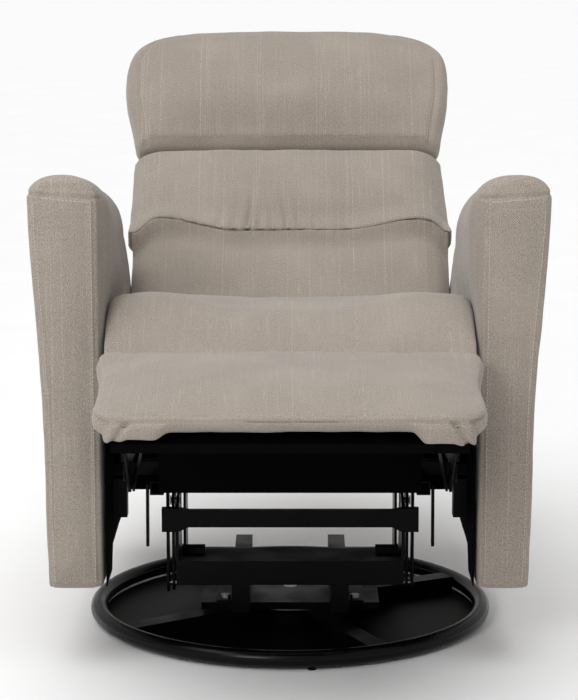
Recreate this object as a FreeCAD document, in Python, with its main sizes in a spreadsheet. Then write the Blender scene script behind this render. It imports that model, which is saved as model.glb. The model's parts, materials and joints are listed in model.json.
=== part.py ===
"""A swivel glider recliner with a round floor base, hanging glide links, a reclining back and a footrest.

Millimetres, +Z up, the front of the chair faces -Y and +X is to the right seen from the front.
The origin is on the floor at the centre of the swivel ring.
The chair is modelled fully reclined, with its footrest out.
"""
import FreeCAD, Part
import math
import os
import re
import Sketcher
from FreeCAD import Placement, Rotation, Vector

SIZES = {
    # round base
    "ring_radius": 292.5, "ring_tube": 12.5, "glide_height": 3, "glide_radius": 6, "glide_turn": -84,
    "pan_radius": 286, "pan_low": 0, "leg_low": 2, "leg_width": 30, "hub_top": 24, "hub_radius": 70,
    "base_turn": -15, "front_leg_spread": 41.5, "rear_leg_spread": 48,
    # swivel bearing
    "race_radius": 65, "race_width": 26, "race_height": 6, "ball_radius": 3, "groove_play": 0.1,
    "race_gap": 2, "ball_count": 24, "king_pin_radius": 10, "king_pin_flange": 16, "play": 0.05,
    # turntable
    "plate_width": 266, "plate_depth": 190, "plate_low": 38, "plate_thick": 4, "plate_lip": 7,
    "bolt_radius": 4, "bolt_head": 7, "bolt_x": 97, "bolt_y": 78, "rail_in": 60, "rail_out": 86,
    "rail_foot": 110, "rail_top": 84, "foot_thick": 3, "stand_reach": 150, "beam_depth": 76,
    "beam_top": 120, "sheet_thick": 3, "stand_in": 163, "strap_thick": 4, "tie_half": 187,
    "tie_low": 174, "tie_high": 199, "tie_deep": 13, "tie_flare": 7, "rear_beam_low": 52,
    "rear_beam_top": 64, "bumper_width": 34, "bumper_depth": 26, "bumper_height": 7,
    # glide
    "pivot_y": 100, "pivot_top": 200, "pivot_low": 75, "link_width": 24, "link_in": 171,
    "hanger_in": 179, "hanger_width": 28, "hanger_top": 240, "pin_radius": 4, "pin_head": 7,
    "rivet_head_thick": 1.4, "open_play": 0.5, "side_rail_width": 20, "side_rail_low": 225,
    "side_rail_high": 245, "side_rail_front": 175, "side_rail_back": 180, "tube_size": 20,
    "front_tube_y": -130, "rear_tube_y": 155,
    # chair body
    "side_plate_in": 236, "cleat_low": 255, "cleat_high": 290, "cleat_front": 100, "cleat_back": 216,
    "stretcher_thick": 16, "stretcher_low": 146, "stretcher_high": 205, "tab_out": 256, "tab_low": 192,
    "tab_back": 150, "panel_in": 303, "panel_thick": 18, "arm_bolt_front": -60, "arm_bolt_back": 120,
    "arm_bolt_height": 272, "arm_in": 264, "arm_foot_out": 338, "arm_top_out": 358, "arm_front": 280,
    "arm_back": 405, "arm_toe": 112, "arm_arch": 146, "arm_dome": 33, "panel_inset": 18,
    "arm_top_front": 694, "arm_top_toe": 683, "arm_top_heel": 679, "arm_top_elbow": 655,
    "arm_top_middle": 622, "arm_top_rear": 585, "arm_top_slope": 536, "arm_top_back": 470,
    "elbow_y": -20, "middle_y": 120, "rear_y": 250, "slope_y": 330, "toe_length": 98,
    "panel_margin": 66, "plate_high": 14,
    # seat
    "seat_tilt": 12, "seat_pivot_y": -150, "seat_pivot_z": 330, "seat_plate_in": 229, "link_thick": 3,
    "seat_rail_in": 180, "seat_rail_front": 98, "seat_rail_low": 30, "seat_rail_high": 58,
    "seat_front": 174, "seat_back": 318, "seat_low": 66, "seat_high": 170, "seat_half": 251,
    "seat_round": 26, "board_half": 187, "board_front": -225, "board_thick": 12, "board_low": 240,
    "board_high": 388, "spring_count": 5, "spring_pitch": 75, "spring_wire": 2, "spring_swing": 22,
    "rail_depth": 24, "hip_radius": 6, "hip_head": 10,
    # back
    "hip_y": 225, "hip_z": 345, "recline": 43, "post_in": 198, "post_out": 224, "post_top": 612,
    "frame_front": 45, "frame_rear": 75, "webbing_width": 50, "cushion_rear": 42, "lower_base": 20,
    "lower_top": 249, "lumbar_top": 427, "head_top": 674, "lower_front": 35, "lumbar_front": 40,
    "head_front": 58, "lower_half": 257, "head_half": 276, "shell_rear": 118, "shell_base": 15,
    "shell_top": 666, "shell_half": 258, "cushion_round": 24, "strap_first": 95, "strap_pitch": 118,
    "base_rail_low": 28, "base_rail_high": 70, "waist_rail_low": 300, "waist_rail_high": 335,
    "top_rail_low": 568, "bracket_reach": 160,
    # footrest
    "crank_y": -200, "crank_z": 325, "crank_length": 160, "outer_length": 120, "knuckle_y": -450,
    "knuckle_z": 375, "footrest_slope": 6, "lever_width": 22, "crank_in": 224, "outer_in": 219,
    "cross_in": 214, "stay_in": 228, "bracket_in": 209, "rest_board_half": 225, "pad_half": 248,
    "pad_rear": 141, "pad_front": 168, "pad_low": 32, "pad_high": 76, "pad_round": 17,
    "cross_tube_radius": 8, "board_low_in_rest": 20, "lug_length": 20, "lug_width": 16, "collar": 1.7,
    # release paddle and lock
    "cup_in": 332, "cup_out": 356, "cup_front": -70, "cup_back": 20, "cup_low": 465, "cup_high": 530,
    "cup_wall": 3, "paddle_x": -347, "paddle_z": 519, "lock_in": 205, "lock_y": -162, "lock_z": 235,
    "lock_length": 80, "lock_width": 16,
}

doc = FreeCAD.newDocument("glider_chair")
sheet = doc.addObject("Spreadsheet::Sheet", "dims")
for row, (alias, number) in enumerate(SIZES.items(), start=1):
    sheet.set("A%d" % row, alias)
    sheet.set("B%d" % row, str(number))
    sheet.setAlias("B%d" % row, alias)
doc.recompute()

subparts = []


def formula(text):
    """A formula written with the sheet's aliases, with each alias turned into a reference to the sheet."""
    return re.sub(r"[a-z]\w*", lambda word: "dims." + word.group(0), str(text))


def value(text):
    """What a formula comes to now."""
    return float(sheet.evalExpression(formula(text)))


def drive(thing, **formulas):
    """Bind properties of a document object to formulas; a double underscore stands for a dot."""
    for name, text in formulas.items():
        thing.setExpression(name.replace("__", "."), formula(text))


def publish(thing, name):
    """Give a finished sub-part the name that its file gets."""
    thing.Label = name
    subparts.append(thing)
    return thing


# ---------------------------------------------------------------- frames of reference

def tilted_frame(y, z, degrees):
    """A frame at y, z whose own y and z axes are turned about +X."""
    return Placement(Vector(0, value(y), value(z)), Rotation(Vector(1, 0, 0), degrees))


LEVEL = Placement()
SEAT = tilted_frame("seat_pivot_y", "seat_pivot_z", -value("seat_tilt"))
BACK = tilted_frame("hip_y", "hip_z", -value("recline"))
FOOTREST = tilted_frame("knuckle_y", "knuckle_z", value("footrest_slope"))


def side_frame(y, z, degrees):
    """A frame at y, z for a flat link: own X runs along the link and own Z is the world's +X."""
    angle = math.radians(degrees)
    along = Vector(0, math.cos(angle), math.sin(angle))
    outward = Vector(1, 0, 0)
    return Placement(Vector(0, y, z), Rotation(along, outward.cross(along), outward, "XYZ"))


# ---------------------------------------------------------------- building blocks

def box(name, low, high, frame=LEVEL):
    """A box between two corners given as formulas in a frame of reference."""
    solid = doc.addObject("Part::Box", name)
    sides = ["(%s) - (%s)" % (b, a) for a, b in zip(low, high)]
    drive(solid, Length=sides[0], Width=sides[1], Height=sides[2])
    corner = Vector(*[value(a) for a in low])
    solid.Placement = frame.multiply(Placement(corner, Rotation()))
    return solid


def cylinder(name, radius, start, length, axis=Vector(0, 0, 1)):
    """A round bar that starts at a point given as formulas and runs along an axis."""
    solid = doc.addObject("Part::Cylinder", name)
    drive(solid, Radius=radius, Height=length)
    solid.Placement = Placement(Vector(*[value(a) for a in start]), Rotation(Vector(0, 0, 1), axis))
    return solid


def cut(name, base, *tools):
    """Base with every tool taken away from it."""
    for number, tool in enumerate(tools):
        result = doc.addObject("Part::Cut", "%s_cut_%d" % (name, number))
        result.Base = base
        result.Tool = tool
        base = result
    return base


def fuse(name, *solids):
    """Solids joined into one."""
    result = doc.addObject("Part::MultiFuse", name + "_fuse")
    result.Shapes = list(solids)
    return result


def group(name, *solids):
    """Separate solids kept in one sub-part."""
    result = doc.addObject("Part::Compound", name + "_group")
    result.Links = list(solids)
    return result


def mirror(name, source, normal=Vector(1, 0, 0)):
    """The same piece on the other side of the chair."""
    result = doc.addObject("Part::Mirroring", name + "_mirror")
    result.Source = source
    result.Normal = normal
    return result


def pair(name, right):
    """A right-hand piece and its left-hand twin as one sub-part."""
    return publish(group(name, right, mirror(name, right)), name)


def rounded(name, source, radius):
    """A block with all of its edges rounded."""
    doc.recompute()
    result = doc.addObject("Part::Fillet", name + "_round")
    result.Base = source
    size = value(radius)
    result.Edges = [(number + 1, size, size) for number in range(len(source.Shape.Edges))]
    return result


def origin_plane(body, role):
    """One of a body's own origin planes or axes."""
    return [feature for feature in body.Origin.OriginFeatures if feature.Role == role][0]


def new_sketch(body, name, role):
    sketch = body.newObject("Sketcher::SketchObject", name)
    sketch.AttachmentSupport = (origin_plane(body, role), "")
    sketch.MapMode = "FlatFace"
    return sketch


def hold(sketch, kind, geometry, point, text):
    """Dimension one point of a sketch from the sketch's origin, by a formula."""
    number = value(text)
    if abs(number) < 1e-9:
        axis = -2 if kind == "DistanceX" else -1
        sketch.addConstraint(Sketcher.Constraint("PointOnObject", geometry, point, axis))
        return
    index = sketch.addConstraint(Sketcher.Constraint(kind, -1, 1, geometry, point, number))
    sketch.setExpression("Constraints[%d]" % index, formula(text))


def polygon(sketch, corners):
    """A closed outline; each corner is a pair of formulas and is held by its own two dimensions."""
    points = [Vector(value(a), value(b), 0) for a, b in corners]
    count = len(points)
    for index in range(count):
        sketch.addGeometry(Part.LineSegment(points[index], points[(index + 1) % count]))
    for index in range(count):
        sketch.addConstraint(Sketcher.Constraint("Coincident", index, 2, (index + 1) % count, 1))
    for index, (a, b) in enumerate(corners):
        hold(sketch, "DistanceX", index, 1, a)
        hold(sketch, "DistanceY", index, 1, b)


def hole(sketch, a, b, radius):
    """A round hole whose centre and radius are formulas."""
    number = sketch.addGeometry(Part.Circle(Vector(value(a), value(b), 0), Vector(0, 0, 1), value(radius)))
    hold(sketch, "DistanceX", number, 3, a)
    hold(sketch, "DistanceY", number, 3, b)
    index = sketch.addConstraint(Sketcher.Constraint("Radius", number, value(radius)))
    sketch.setExpression("Constraints[%d]" % index, formula(radius))


def sheet_piece(name, role, corners, thick, frame=LEVEL, holes=()):
    """A flat piece padded from a sketch on one of its body's origin planes."""
    body = doc.addObject("PartDesign::Body", name + "_body")
    sketch = new_sketch(body, name + "_outline", role)
    polygon(sketch, corners)
    for a, b, radius in holes:
        hole(sketch, a, b, radius)
    pad = body.newObject("PartDesign::Pad", name + "_pad")
    pad.Profile = sketch
    drive(pad, Length=thick)
    body.Tip = pad
    body.Placement = frame
    return body


def shifted(frame, x="0", y="0", z="0"):
    """A frame moved by formulas along its own axes."""
    return frame.multiply(Placement(Vector(value(x), value(y), value(z)), Rotation()))


def turned(name, profile):
    """A piece turned about the swivel axis from (radius, height) corners."""
    body = doc.addObject("PartDesign::Body", name + "_body")
    sketch = new_sketch(body, name + "_profile", "XZ_Plane")
    polygon(sketch, profile)
    spin = body.newObject("PartDesign::Revolution", name + "_spin")
    spin.Profile = sketch
    spin.ReferenceAxis = (origin_plane(body, "Z_Axis"), [""])
    spin.Angle = 360
    body.Tip = spin
    return body


def link_bar(name, frame, length, width, thick, start_hole, end_hole):
    """A flat link with round ends, a pivot hole at its frame's origin and another along its own X."""
    body = doc.addObject("PartDesign::Body", name + "_body")
    sketch = new_sketch(body, name + "_outline", "XY_Plane")
    reach, half = value(length), value(width) / 2
    up = Vector(0, 0, 1)
    quarter = math.pi / 2
    near = Part.ArcOfCircle(Part.Circle(Vector(0, 0, 0), up, half), quarter, 3 * quarter)
    far = Part.ArcOfCircle(Part.Circle(Vector(reach, 0, 0), up, half), -quarter, quarter)
    low = Part.LineSegment(Vector(0, -half, 0), Vector(reach, -half, 0))
    high = Part.LineSegment(Vector(reach, half, 0), Vector(0, half, 0))
    sketch.addGeometry([near, low, far, high])
    for first, end, second, start in ((0, 2, 1, 1), (1, 2, 2, 1), (2, 2, 3, 1), (3, 2, 0, 1)):
        sketch.addConstraint(Sketcher.Constraint("Tangent", first, end, second, start))
    sketch.addConstraint(Sketcher.Constraint("Coincident", 0, 3, -1, 1))
    hold(sketch, "DistanceX", 2, 3, length)
    hold(sketch, "DistanceY", 2, 3, "0")
    index = sketch.addConstraint(Sketcher.Constraint("Radius", 0, half))
    sketch.setExpression("Constraints[%d]" % index, formula("(%s) / 2" % width))
    hole(sketch, "0", "0", start_hole)
    hole(sketch, length, "0", end_hole)
    pad = body.newObject("PartDesign::Pad", name + "_pad")
    pad.Profile = sketch
    drive(pad, Length=thick)
    body.Tip = pad
    body.Placement = frame
    return body


def rivet(name, inner, outer, y, z, radius="pin_radius", head="pin_head", head_at="inner"):
    """A shouldered rivet along X between two distances from the centre plane, with a head at one end."""
    length = "(%s) - (%s)" % (outer, inner)
    shank = cylinder(name + "_shank", radius, (inner, y, z), length, Vector(1, 0, 0))
    start = inner if head_at == "inner" else "(%s) - rivet_head_thick" % outer
    cap = cylinder(name + "_head", head, (start, y, z), "rivet_head_thick", Vector(1, 0, 0))
    return fuse(name, shank, cap)


PIVOT_HOLE = "pin_radius + play"


# ---------------------------------------------------------------- round base

def make_base():
    ring = doc.addObject("Part::Torus", "ring_torus")
    drive(ring, Radius1="ring_radius", Radius2="ring_tube")
    ring.Placement.Base = Vector(0, 0, value("glide_height + ring_tube"))
    publish(ring, "base_ring")

    glides = []
    for number in range(4):
        around = Placement(Vector(), Rotation(Vector(0, 0, 1), value("glide_turn") + 90 * number))
        pad = cylinder("glide_%d" % number, "glide_radius", ("0", "0", "0"), "2 * glide_height")
        pad.Placement = around.multiply(Placement(Vector(value("ring_radius"), 0, 0), Rotation()))
        glides.append(cut("glide_seat_%d" % number, pad, ring))
    publish(group("glides", *glides), "base_glides")

    legs = []
    hub_core = cylinder("hub_core", "hub_radius", ("0", "0", "0"), "hub_top")
    turn = value("base_turn")
    spreads = ((-90, -1, "front_leg_spread"), (-90, 1, "front_leg_spread"),
               (90, -1, "rear_leg_spread"), (90, 1, "rear_leg_spread"))
    for number, (heading, side, spread) in enumerate(spreads):
        angle = heading + turn + side * value(spread)
        around = Placement(Vector(), Rotation(Vector(0, 0, 1), angle))
        leg = box("leg_bar_%d" % number, ("0", "-leg_width / 2", "leg_low"),
                  ("ring_radius - ring_tube + 1", "leg_width / 2", "hub_top"), around)
        legs.append(cut("leg_%d" % number, leg, ring, hub_core))
    publish(group("legs", *legs), "base_legs")
    publish(turned("floor_pan", [("0", "pan_low"), ("pan_radius", "pan_low"), ("pan_radius", "leg_low"),
                                 ("0", "leg_low")]), "base_floor_pan")
    bore = "king_pin_radius + play"
    pocket = "king_pin_flange + 1"
    hub = turned("hub", [(bore, "leg_low + 7"), (pocket, "leg_low + 7"), (pocket, "leg_low"),
                         ("hub_radius", "leg_low"), ("hub_radius", "hub_top"), (bore, "hub_top")])
    publish(hub, "base_hub")


def race(name, low):
    """One ring of the bearing; its ball groove is cut by a torus between the two rings."""
    inner, outer = "race_radius - race_width / 2", "race_radius + race_width / 2"
    top = "(%s) + race_height" % low
    ring = turned(name, [(inner, low), (outer, low), (outer, top), (inner, top)])
    groove = doc.addObject("Part::Torus", name + "_groove")
    drive(groove, Radius1="race_radius", Radius2="ball_radius + groove_play")
    groove.Placement.Base = Vector(0, 0, value("hub_top + race_height + race_gap / 2"))
    return publish(cut(name, ring, groove), name)


def make_swivel():
    race("swivel_lower_race", "hub_top")
    race("swivel_upper_race", "hub_top + race_height + race_gap")
    balls = []
    count = int(value("ball_count"))
    for number in range(count):
        ball = doc.addObject("Part::Sphere", "ball_%d" % number)
        drive(ball, Radius="ball_radius")
        angle = 2 * math.pi * number / count
        reach = value("race_radius")
        height = value("hub_top + race_height + race_gap / 2")
        ball.Placement.Base = Vector(reach * math.cos(angle), reach * math.sin(angle), height)
        balls.append(ball)
    publish(group("balls", *balls), "swivel_balls")

    flange = cylinder("king_flange", "king_pin_flange", ("0", "0", "leg_low + 1"), "5")
    shank = cylinder("king_shank", "king_pin_radius", ("0", "0", "leg_low + 1"),
                     "plate_low + plate_thick - leg_low - 1")
    publish(fuse("king_pin", flange, shank), "swivel_pin")

    top = box("plate_top", ("-plate_width / 2", "-plate_depth / 2", "plate_low"),
              ("plate_width / 2", "plate_depth / 2", "plate_low + plate_thick"))
    lips = [box("plate_lip_%s" % end, ("-plate_width / 2", low, "plate_low - plate_lip"),
                ("plate_width / 2", high, "plate_low"))
            for end, low, high in (("front", "-plate_depth / 2", "-plate_depth / 2 + plate_thick"),
                                   ("rear", "plate_depth / 2 - plate_thick", "plate_depth / 2"))]
    bore = cylinder("plate_bore", "king_pin_radius", ("0", "0", "plate_low - 1"), "plate_thick + 2")
    holes = [cylinder("plate_hole_%d" % number, "bolt_radius", (x, y, "plate_low - 1"), "plate_thick + 2")
             for number, (x, y) in enumerate(bolt_places())]
    publish(cut("swivel_plate", fuse("plate", top, *lips), bore, *holes), "swivel_plate")

    bolts = []
    for number, (x, y) in enumerate(bolt_places()):
        shank = cylinder("bolt_shank_%d" % number, "bolt_radius", (x, y, "plate_low - 3"), "14")
        head = doc.addObject("Part::Prism", "bolt_head_%d" % number)
        head.Polygon = 6
        drive(head, Circumradius="bolt_head", Height="5")
        head.Placement.Base = Vector(value(x), value(y), value("plate_low + plate_thick + foot_thick"))
        bolts.append(fuse("bolt_%d" % number, shank, head))
    publish(group("bolts", *bolts), "swivel_bolts")


def bolt_places():
    return [(x, y) for x in ("-bolt_x", "bolt_x") for y in ("-bolt_y", "bolt_y")]


# ---------------------------------------------------------------- turntable

def make_turntable():
    low = "plate_low + plate_thick"
    bar = box("rail_bar", ("rail_in", "-stand_reach", low), ("rail_out", "stand_reach", "rail_top"))
    foot = box("rail_foot_plate", ("rail_out", "-plate_depth / 2", low),
               ("rail_foot", "plate_depth / 2", low + " + foot_thick"))
    holes = [cylinder("rail_hole_" + end, "bolt_radius", ("bolt_x", y, low + " - 1"), "foot_thick + 2")
             for end, y in (("front", "-bolt_y"), ("rear", "bolt_y"))]
    pair("base_rails", cut("base_rail", fuse("base_rail", bar, foot), *holes))

    outer = box("beam_outer", ("-stand_in", "-stand_reach", "rail_top"),
                ("stand_in", "-stand_reach + beam_depth", "beam_top"))
    inner = box("beam_inner", ("-stand_in + sheet_thick", "-stand_reach + sheet_thick", "rail_top - 1"),
                ("stand_in - sheet_thick", "-stand_reach + beam_depth - sheet_thick",
                 "beam_top - sheet_thick"))
    rear_beam = box("rear_beam", ("rail_out", "stand_reach - beam_depth", "rear_beam_low"),
                    ("stand_in", "stand_reach", "rear_beam_top"))
    publish(group("beams", cut("front_beam", outer, inner), rear_beam, mirror("rear_beam_left", rear_beam)),
            "lower_beams")

    tie = sheet_piece("front_tie", "XZ_Plane",
                      [("-tie_half", "tie_low - tie_flare"), ("-stand_in", "tie_low - tie_flare"),
                       ("-stand_in + 15", "tie_low"), ("stand_in - 15", "tie_low"),
                       ("stand_in", "tie_low - tie_flare"), ("tie_half", "tie_low - tie_flare"),
                       ("tie_half", "tie_high + 3"), ("stand_in", "tie_high + 3"),
                       ("stand_in - 15", "tie_high"), ("15 - stand_in", "tie_high"),
                       ("-stand_in", "tie_high + 3"), ("-tie_half", "tie_high + 3")],
                      "tie_deep", shifted(LEVEL, y="-stand_reach"))
    publish(group("ties", tie, mirror("rear_tie", tie, Vector(0, 1, 0))), "upper_ties")

    for end, side, base in (("front", "-1", "rail_top"), ("rear", "1", "rear_beam_low")):
        outline = [("stand_reach", base), ("stand_reach - beam_depth", base), ("pivot_y - 15", "pivot_top"),
                   ("pivot_y - 9", "pivot_top + 14"), ("pivot_y + 9", "pivot_top + 14"),
                   ("stand_reach", "tie_high + 2")]
        outline = [("%s * (%s)" % (side, y), z) for y, z in outline]
        stand = sheet_piece("stand_" + end, "YZ_Plane", outline, "strap_thick",
                            shifted(LEVEL, x="stand_in"),
                            [(side + " * pivot_y", "pivot_top", "pin_radius")])
        pair("stands_" + end, stand)

    pin = rivet("stand_pin", "stand_in - 2", "link_in + strap_thick + 2.5", "-pivot_y", "pivot_top",
                head_at="outer")
    both = group("stand_pins_right", pin, mirror("rear_stand_pin", pin, Vector(0, 1, 0)))
    pair("stand_pins", both)

    bumper_rear = "-stand_reach + beam_depth - 4"
    bumper = box("bumper", ("stand_in - 2 - bumper_width", bumper_rear + " - bumper_depth", "beam_top"),
                 ("stand_in - 2", bumper_rear, "beam_top + bumper_height"))
    pair("glide_bumpers", bumper)


# ---------------------------------------------------------------- glide links and carrier

def make_glide():
    drop = "pivot_top - pivot_low"
    for end, side, low_hole in (("front", -1, PIVOT_HOLE), ("rear", 1, "pin_radius + open_play")):
        frame = side_frame(side * value("pivot_y"), value("pivot_top"), -90)
        link = link_bar("glide_link_" + end, shifted(frame, z="link_in"), drop, "link_width", "strap_thick",
                        PIVOT_HOLE, low_hole)
        pair("glide_links_" + end, link)
        low_frame = side_frame(side * value("pivot_y"), value("pivot_low"), 90)
        hanger = link_bar("hanger_" + end, shifted(low_frame, z="hanger_in"),
                          "hanger_top - pivot_low - hanger_width / 2", "hanger_width", "strap_thick",
                          "pin_radius", "pin_radius")
        pair("hangers_" + end, hanger)

    pin = rivet("hanger_pin", "link_in - 2.5", "hanger_in + strap_thick", "-pivot_y", "pivot_low")
    both = group("hanger_pins_right", pin, mirror("rear_hanger_pin", pin, Vector(0, 1, 0)))
    pair("hanger_pins", both)

    rail_in = "hanger_in + strap_thick"
    rail = box("carrier_rail", (rail_in, "-side_rail_front", "side_rail_low"),
               (rail_in + " + side_rail_width", "side_rail_back", "side_rail_high"))
    bore = box("carrier_rail_bore", (rail_in + " + 2", "-side_rail_front - 1", "side_rail_low + 2"),
               (rail_in + " + side_rail_width - 2", "side_rail_back + 1", "side_rail_high - 2"))
    pair("carrier_side_rails", cut("carrier_rail", rail, bore))

    tubes = []
    for end, start in (("front", "front_tube_y"), ("rear", "rear_tube_y")):
        tube = box("tube_" + end, ("-side_plate_in", start, "side_rail_high"),
                   ("side_plate_in", start + " + tube_size", "side_rail_high + tube_size"))
        bore = box("tube_bore_" + end, ("-side_plate_in - 1", start + " + 2", "side_rail_high + 2"),
                   ("side_plate_in + 1", start + " + tube_size - 2", "side_rail_high + tube_size - 2"))
        tubes.append(cut("cross_tube_" + end, tube, bore))
    publish(group("cross_tubes", *tubes), "carrier_cross_tubes")

    arm = link_bar("lock_arm", shifted(side_frame(value("lock_y"), value("lock_z"), -95), z="lock_in"),
                   "lock_length", "lock_width", "strap_thick", "pin_radius", "pin_radius")
    rail_face = "hanger_in + strap_thick + side_rail_width + 0.5"
    rod = cylinder("lock_pivot", "pin_radius", (rail_face, "lock_y", "lock_z"),
                   "lock_in + strap_thick - (%s)" % rail_face, Vector(1, 0, 0))
    pair("glide_lock_arms", fuse("lock_arm", arm, rod))


# ---------------------------------------------------------------- chair body

def arm_section(y, low, top):
    """The outline of an arm across the chair: flat inner face, round top, flared outer face."""
    inner, foot, outer = value("arm_in"), value("arm_foot_out"), value("arm_top_out")
    shoulder = top - value("arm_dome")
    inner_low = Vector(inner, y, low)
    inner_high = Vector(inner, y, shoulder)
    crown = Vector((inner + outer) / 2, y, top)
    outer_high = Vector(outer, y, shoulder)
    outer_low = Vector(foot, y, low)
    edges = [Part.LineSegment(inner_low, inner_high).toShape(),
             Part.Arc(inner_high, crown, outer_high).toShape(),
             Part.LineSegment(outer_high, outer_low).toShape(),
             Part.LineSegment(outer_low, inner_low).toShape()]
    return Part.Wire(edges)


def arm_stations():
    """Places along an arm from front to back: y, bottom and top heights."""
    front, back = -value("arm_front"), value("arm_back")
    toe, arch = value("arm_toe"), value("arm_arch")
    toe_end = front + value("toe_length")
    heel = toe_end + 20
    return ((front, toe, value("arm_top_front")),
            (toe_end, toe, value("arm_top_toe")),
            (heel, arch, value("arm_top_heel")),
            (value("elbow_y"), arch, value("arm_top_elbow")),
            (value("middle_y"), arch, value("arm_top_middle")),
            (value("rear_y"), arch, value("arm_top_rear")),
            (value("slope_y"), arch, value("arm_top_slope")),
            (back, arch, value("arm_top_back")))


def make_arms():
    wires = [arm_section(y, low, top) for y, low, top in arm_stations()]
    cover = doc.addObject("Part::Feature", "arm_cover")
    cover.Shape = Part.makeLoft(wires, True, True)

    inset = value("panel_inset")
    places = arm_stations()
    low, margin = value("arm_arch"), value("panel_margin")
    front, back = places[0][0] + inset, places[-1][0] - inset
    outline = [(front, low), (back, low)]
    outline += [(min(y, back), top - margin) for y, arch, top in reversed(places[3:])]
    outline.append((front, places[0][2] - margin))
    corners = [("%.3f" % y, "%.3f" % z) for y, z in outline]
    panel_frame = shifted(LEVEL, x="panel_in")
    panel = sheet_piece("arm_panel", "YZ_Plane", corners, "panel_thick", panel_frame)

    cleat = box("cleat", ("side_plate_in + strap_thick", "-cleat_front", "cleat_low"),
                ("panel_in", "cleat_back", "cleat_high"))
    bolt_holes = []
    bolts = []
    for end, y in (("front", "arm_bolt_front"), ("rear", "arm_bolt_back")):
        start = "side_plate_in - 3"
        run = "panel_in + panel_thick - 3 - (%s)" % start
        bolt_holes.append(cylinder("arm_bolt_hole_" + end, "pin_radius", (start, y, "arm_bolt_height"), run,
                                   Vector(1, 0, 0)))
        shank = cylinder("arm_bolt_shank_" + end, "pin_radius", (start, y, "arm_bolt_height"), run,
                         Vector(1, 0, 0))
        head = cylinder("arm_bolt_head_" + end, "pin_head", (start, y, "arm_bolt_height"), "3",
                        Vector(1, 0, 0))
        bolts.append(fuse("arm_bolt_" + end, shank, head))
    pair("arm_bolts", group("arm_bolts_right", *bolts))
    pair("arm_cleats", cut("cleat", cleat, *bolt_holes))
    drilled = cut("arm_panel", panel, *bolt_holes)
    publish(group("panel_right", drilled), "arm_panel_right")
    publish(mirror("panel_left", drilled), "arm_panel_left")

    plate = sheet_piece("recliner_side", "YZ_Plane",
                        [("-side_rail_front", "side_rail_high"), ("side_rail_back + 10", "side_rail_high"),
                         ("side_rail_back + 10", "cleat_high + 6"),
                         ("seat_pivot_y + 40", "seat_pivot_z + plate_high"),
                         ("seat_pivot_y - 16", "seat_pivot_z + plate_high"),
                         ("seat_pivot_y - 20", "seat_pivot_z - 5")],
                        "strap_thick", shifted(LEVEL, x="side_plate_in"),
                        [("seat_pivot_y", "seat_pivot_z", "hip_radius"),
                         ("arm_bolt_front", "arm_bolt_height", "pin_radius"),
                         ("arm_bolt_back", "arm_bolt_height", "pin_radius")])
    tab = box("side_tab", ("side_plate_in", "-side_rail_front", "tab_low"),
              ("tab_out", "-tab_back", "side_rail_high + 4"))
    pair("recliner_side_plates", fuse("side_plate_tab", plate, tab))

    stretcher_front = "cleat_back - stretcher_thick"
    post_in = "side_plate_in + 2 * strap_thick"
    end = "arm_in - 0.3"
    board = box("stretcher_board", ("-(%s)" % end, stretcher_front, "stretcher_low"),
                (end, "cleat_back", "stretcher_high"))
    post = box("stretcher_post", (post_in, stretcher_front, "stretcher_high"),
               (end, "cleat_back", "cleat_low"))
    publish(fuse("stretcher", board, post, mirror("stretcher_post_left", post)), "rear_stretcher")

    hollow = cut("arm", cover, panel, cleat)
    publish(group("arm_right", hollow), "arm_right")
    left = mirror("arm_left", hollow)
    recess = box("cup_recess", ("-cup_out - 20", "cup_front", "cup_low"),
                 ("-cup_in", "cup_back", "cup_high"))
    publish(cut("arm_left", left, recess), "arm_left")


def make_release():
    shell = box("cup_shell", ("-cup_out", "cup_front", "cup_low"),
                ("-cup_in", "cup_back", "cup_high"))
    room = box("cup_room", ("-cup_out - 1", "cup_front + cup_wall", "cup_low + cup_wall"),
               ("-cup_in - cup_wall", "cup_back - cup_wall", "cup_high - cup_wall"))
    pin_hole = cylinder("paddle_hole", "2 + play", ("paddle_x", "cup_front + 1", "paddle_z"),
                        "cup_back - cup_front - 2", Vector(0, 1, 0))
    publish(cut("release_cup", shell, room, pin_hole), "release_cup")
    blade = box("paddle_blade", ("paddle_x - 2", "cup_front + cup_wall + 1", "cup_low + 14"),
                ("paddle_x + 2", "cup_back - cup_wall - 1", "paddle_z + 4"))
    pin = cylinder("paddle_pin", "2", ("paddle_x", "cup_front + 1.5", "paddle_z"),
                   "cup_back - cup_front - 3", Vector(0, 1, 0))
    publish(fuse("release_paddle", blade, pin), "release_paddle")


# ---------------------------------------------------------------- seat

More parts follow.
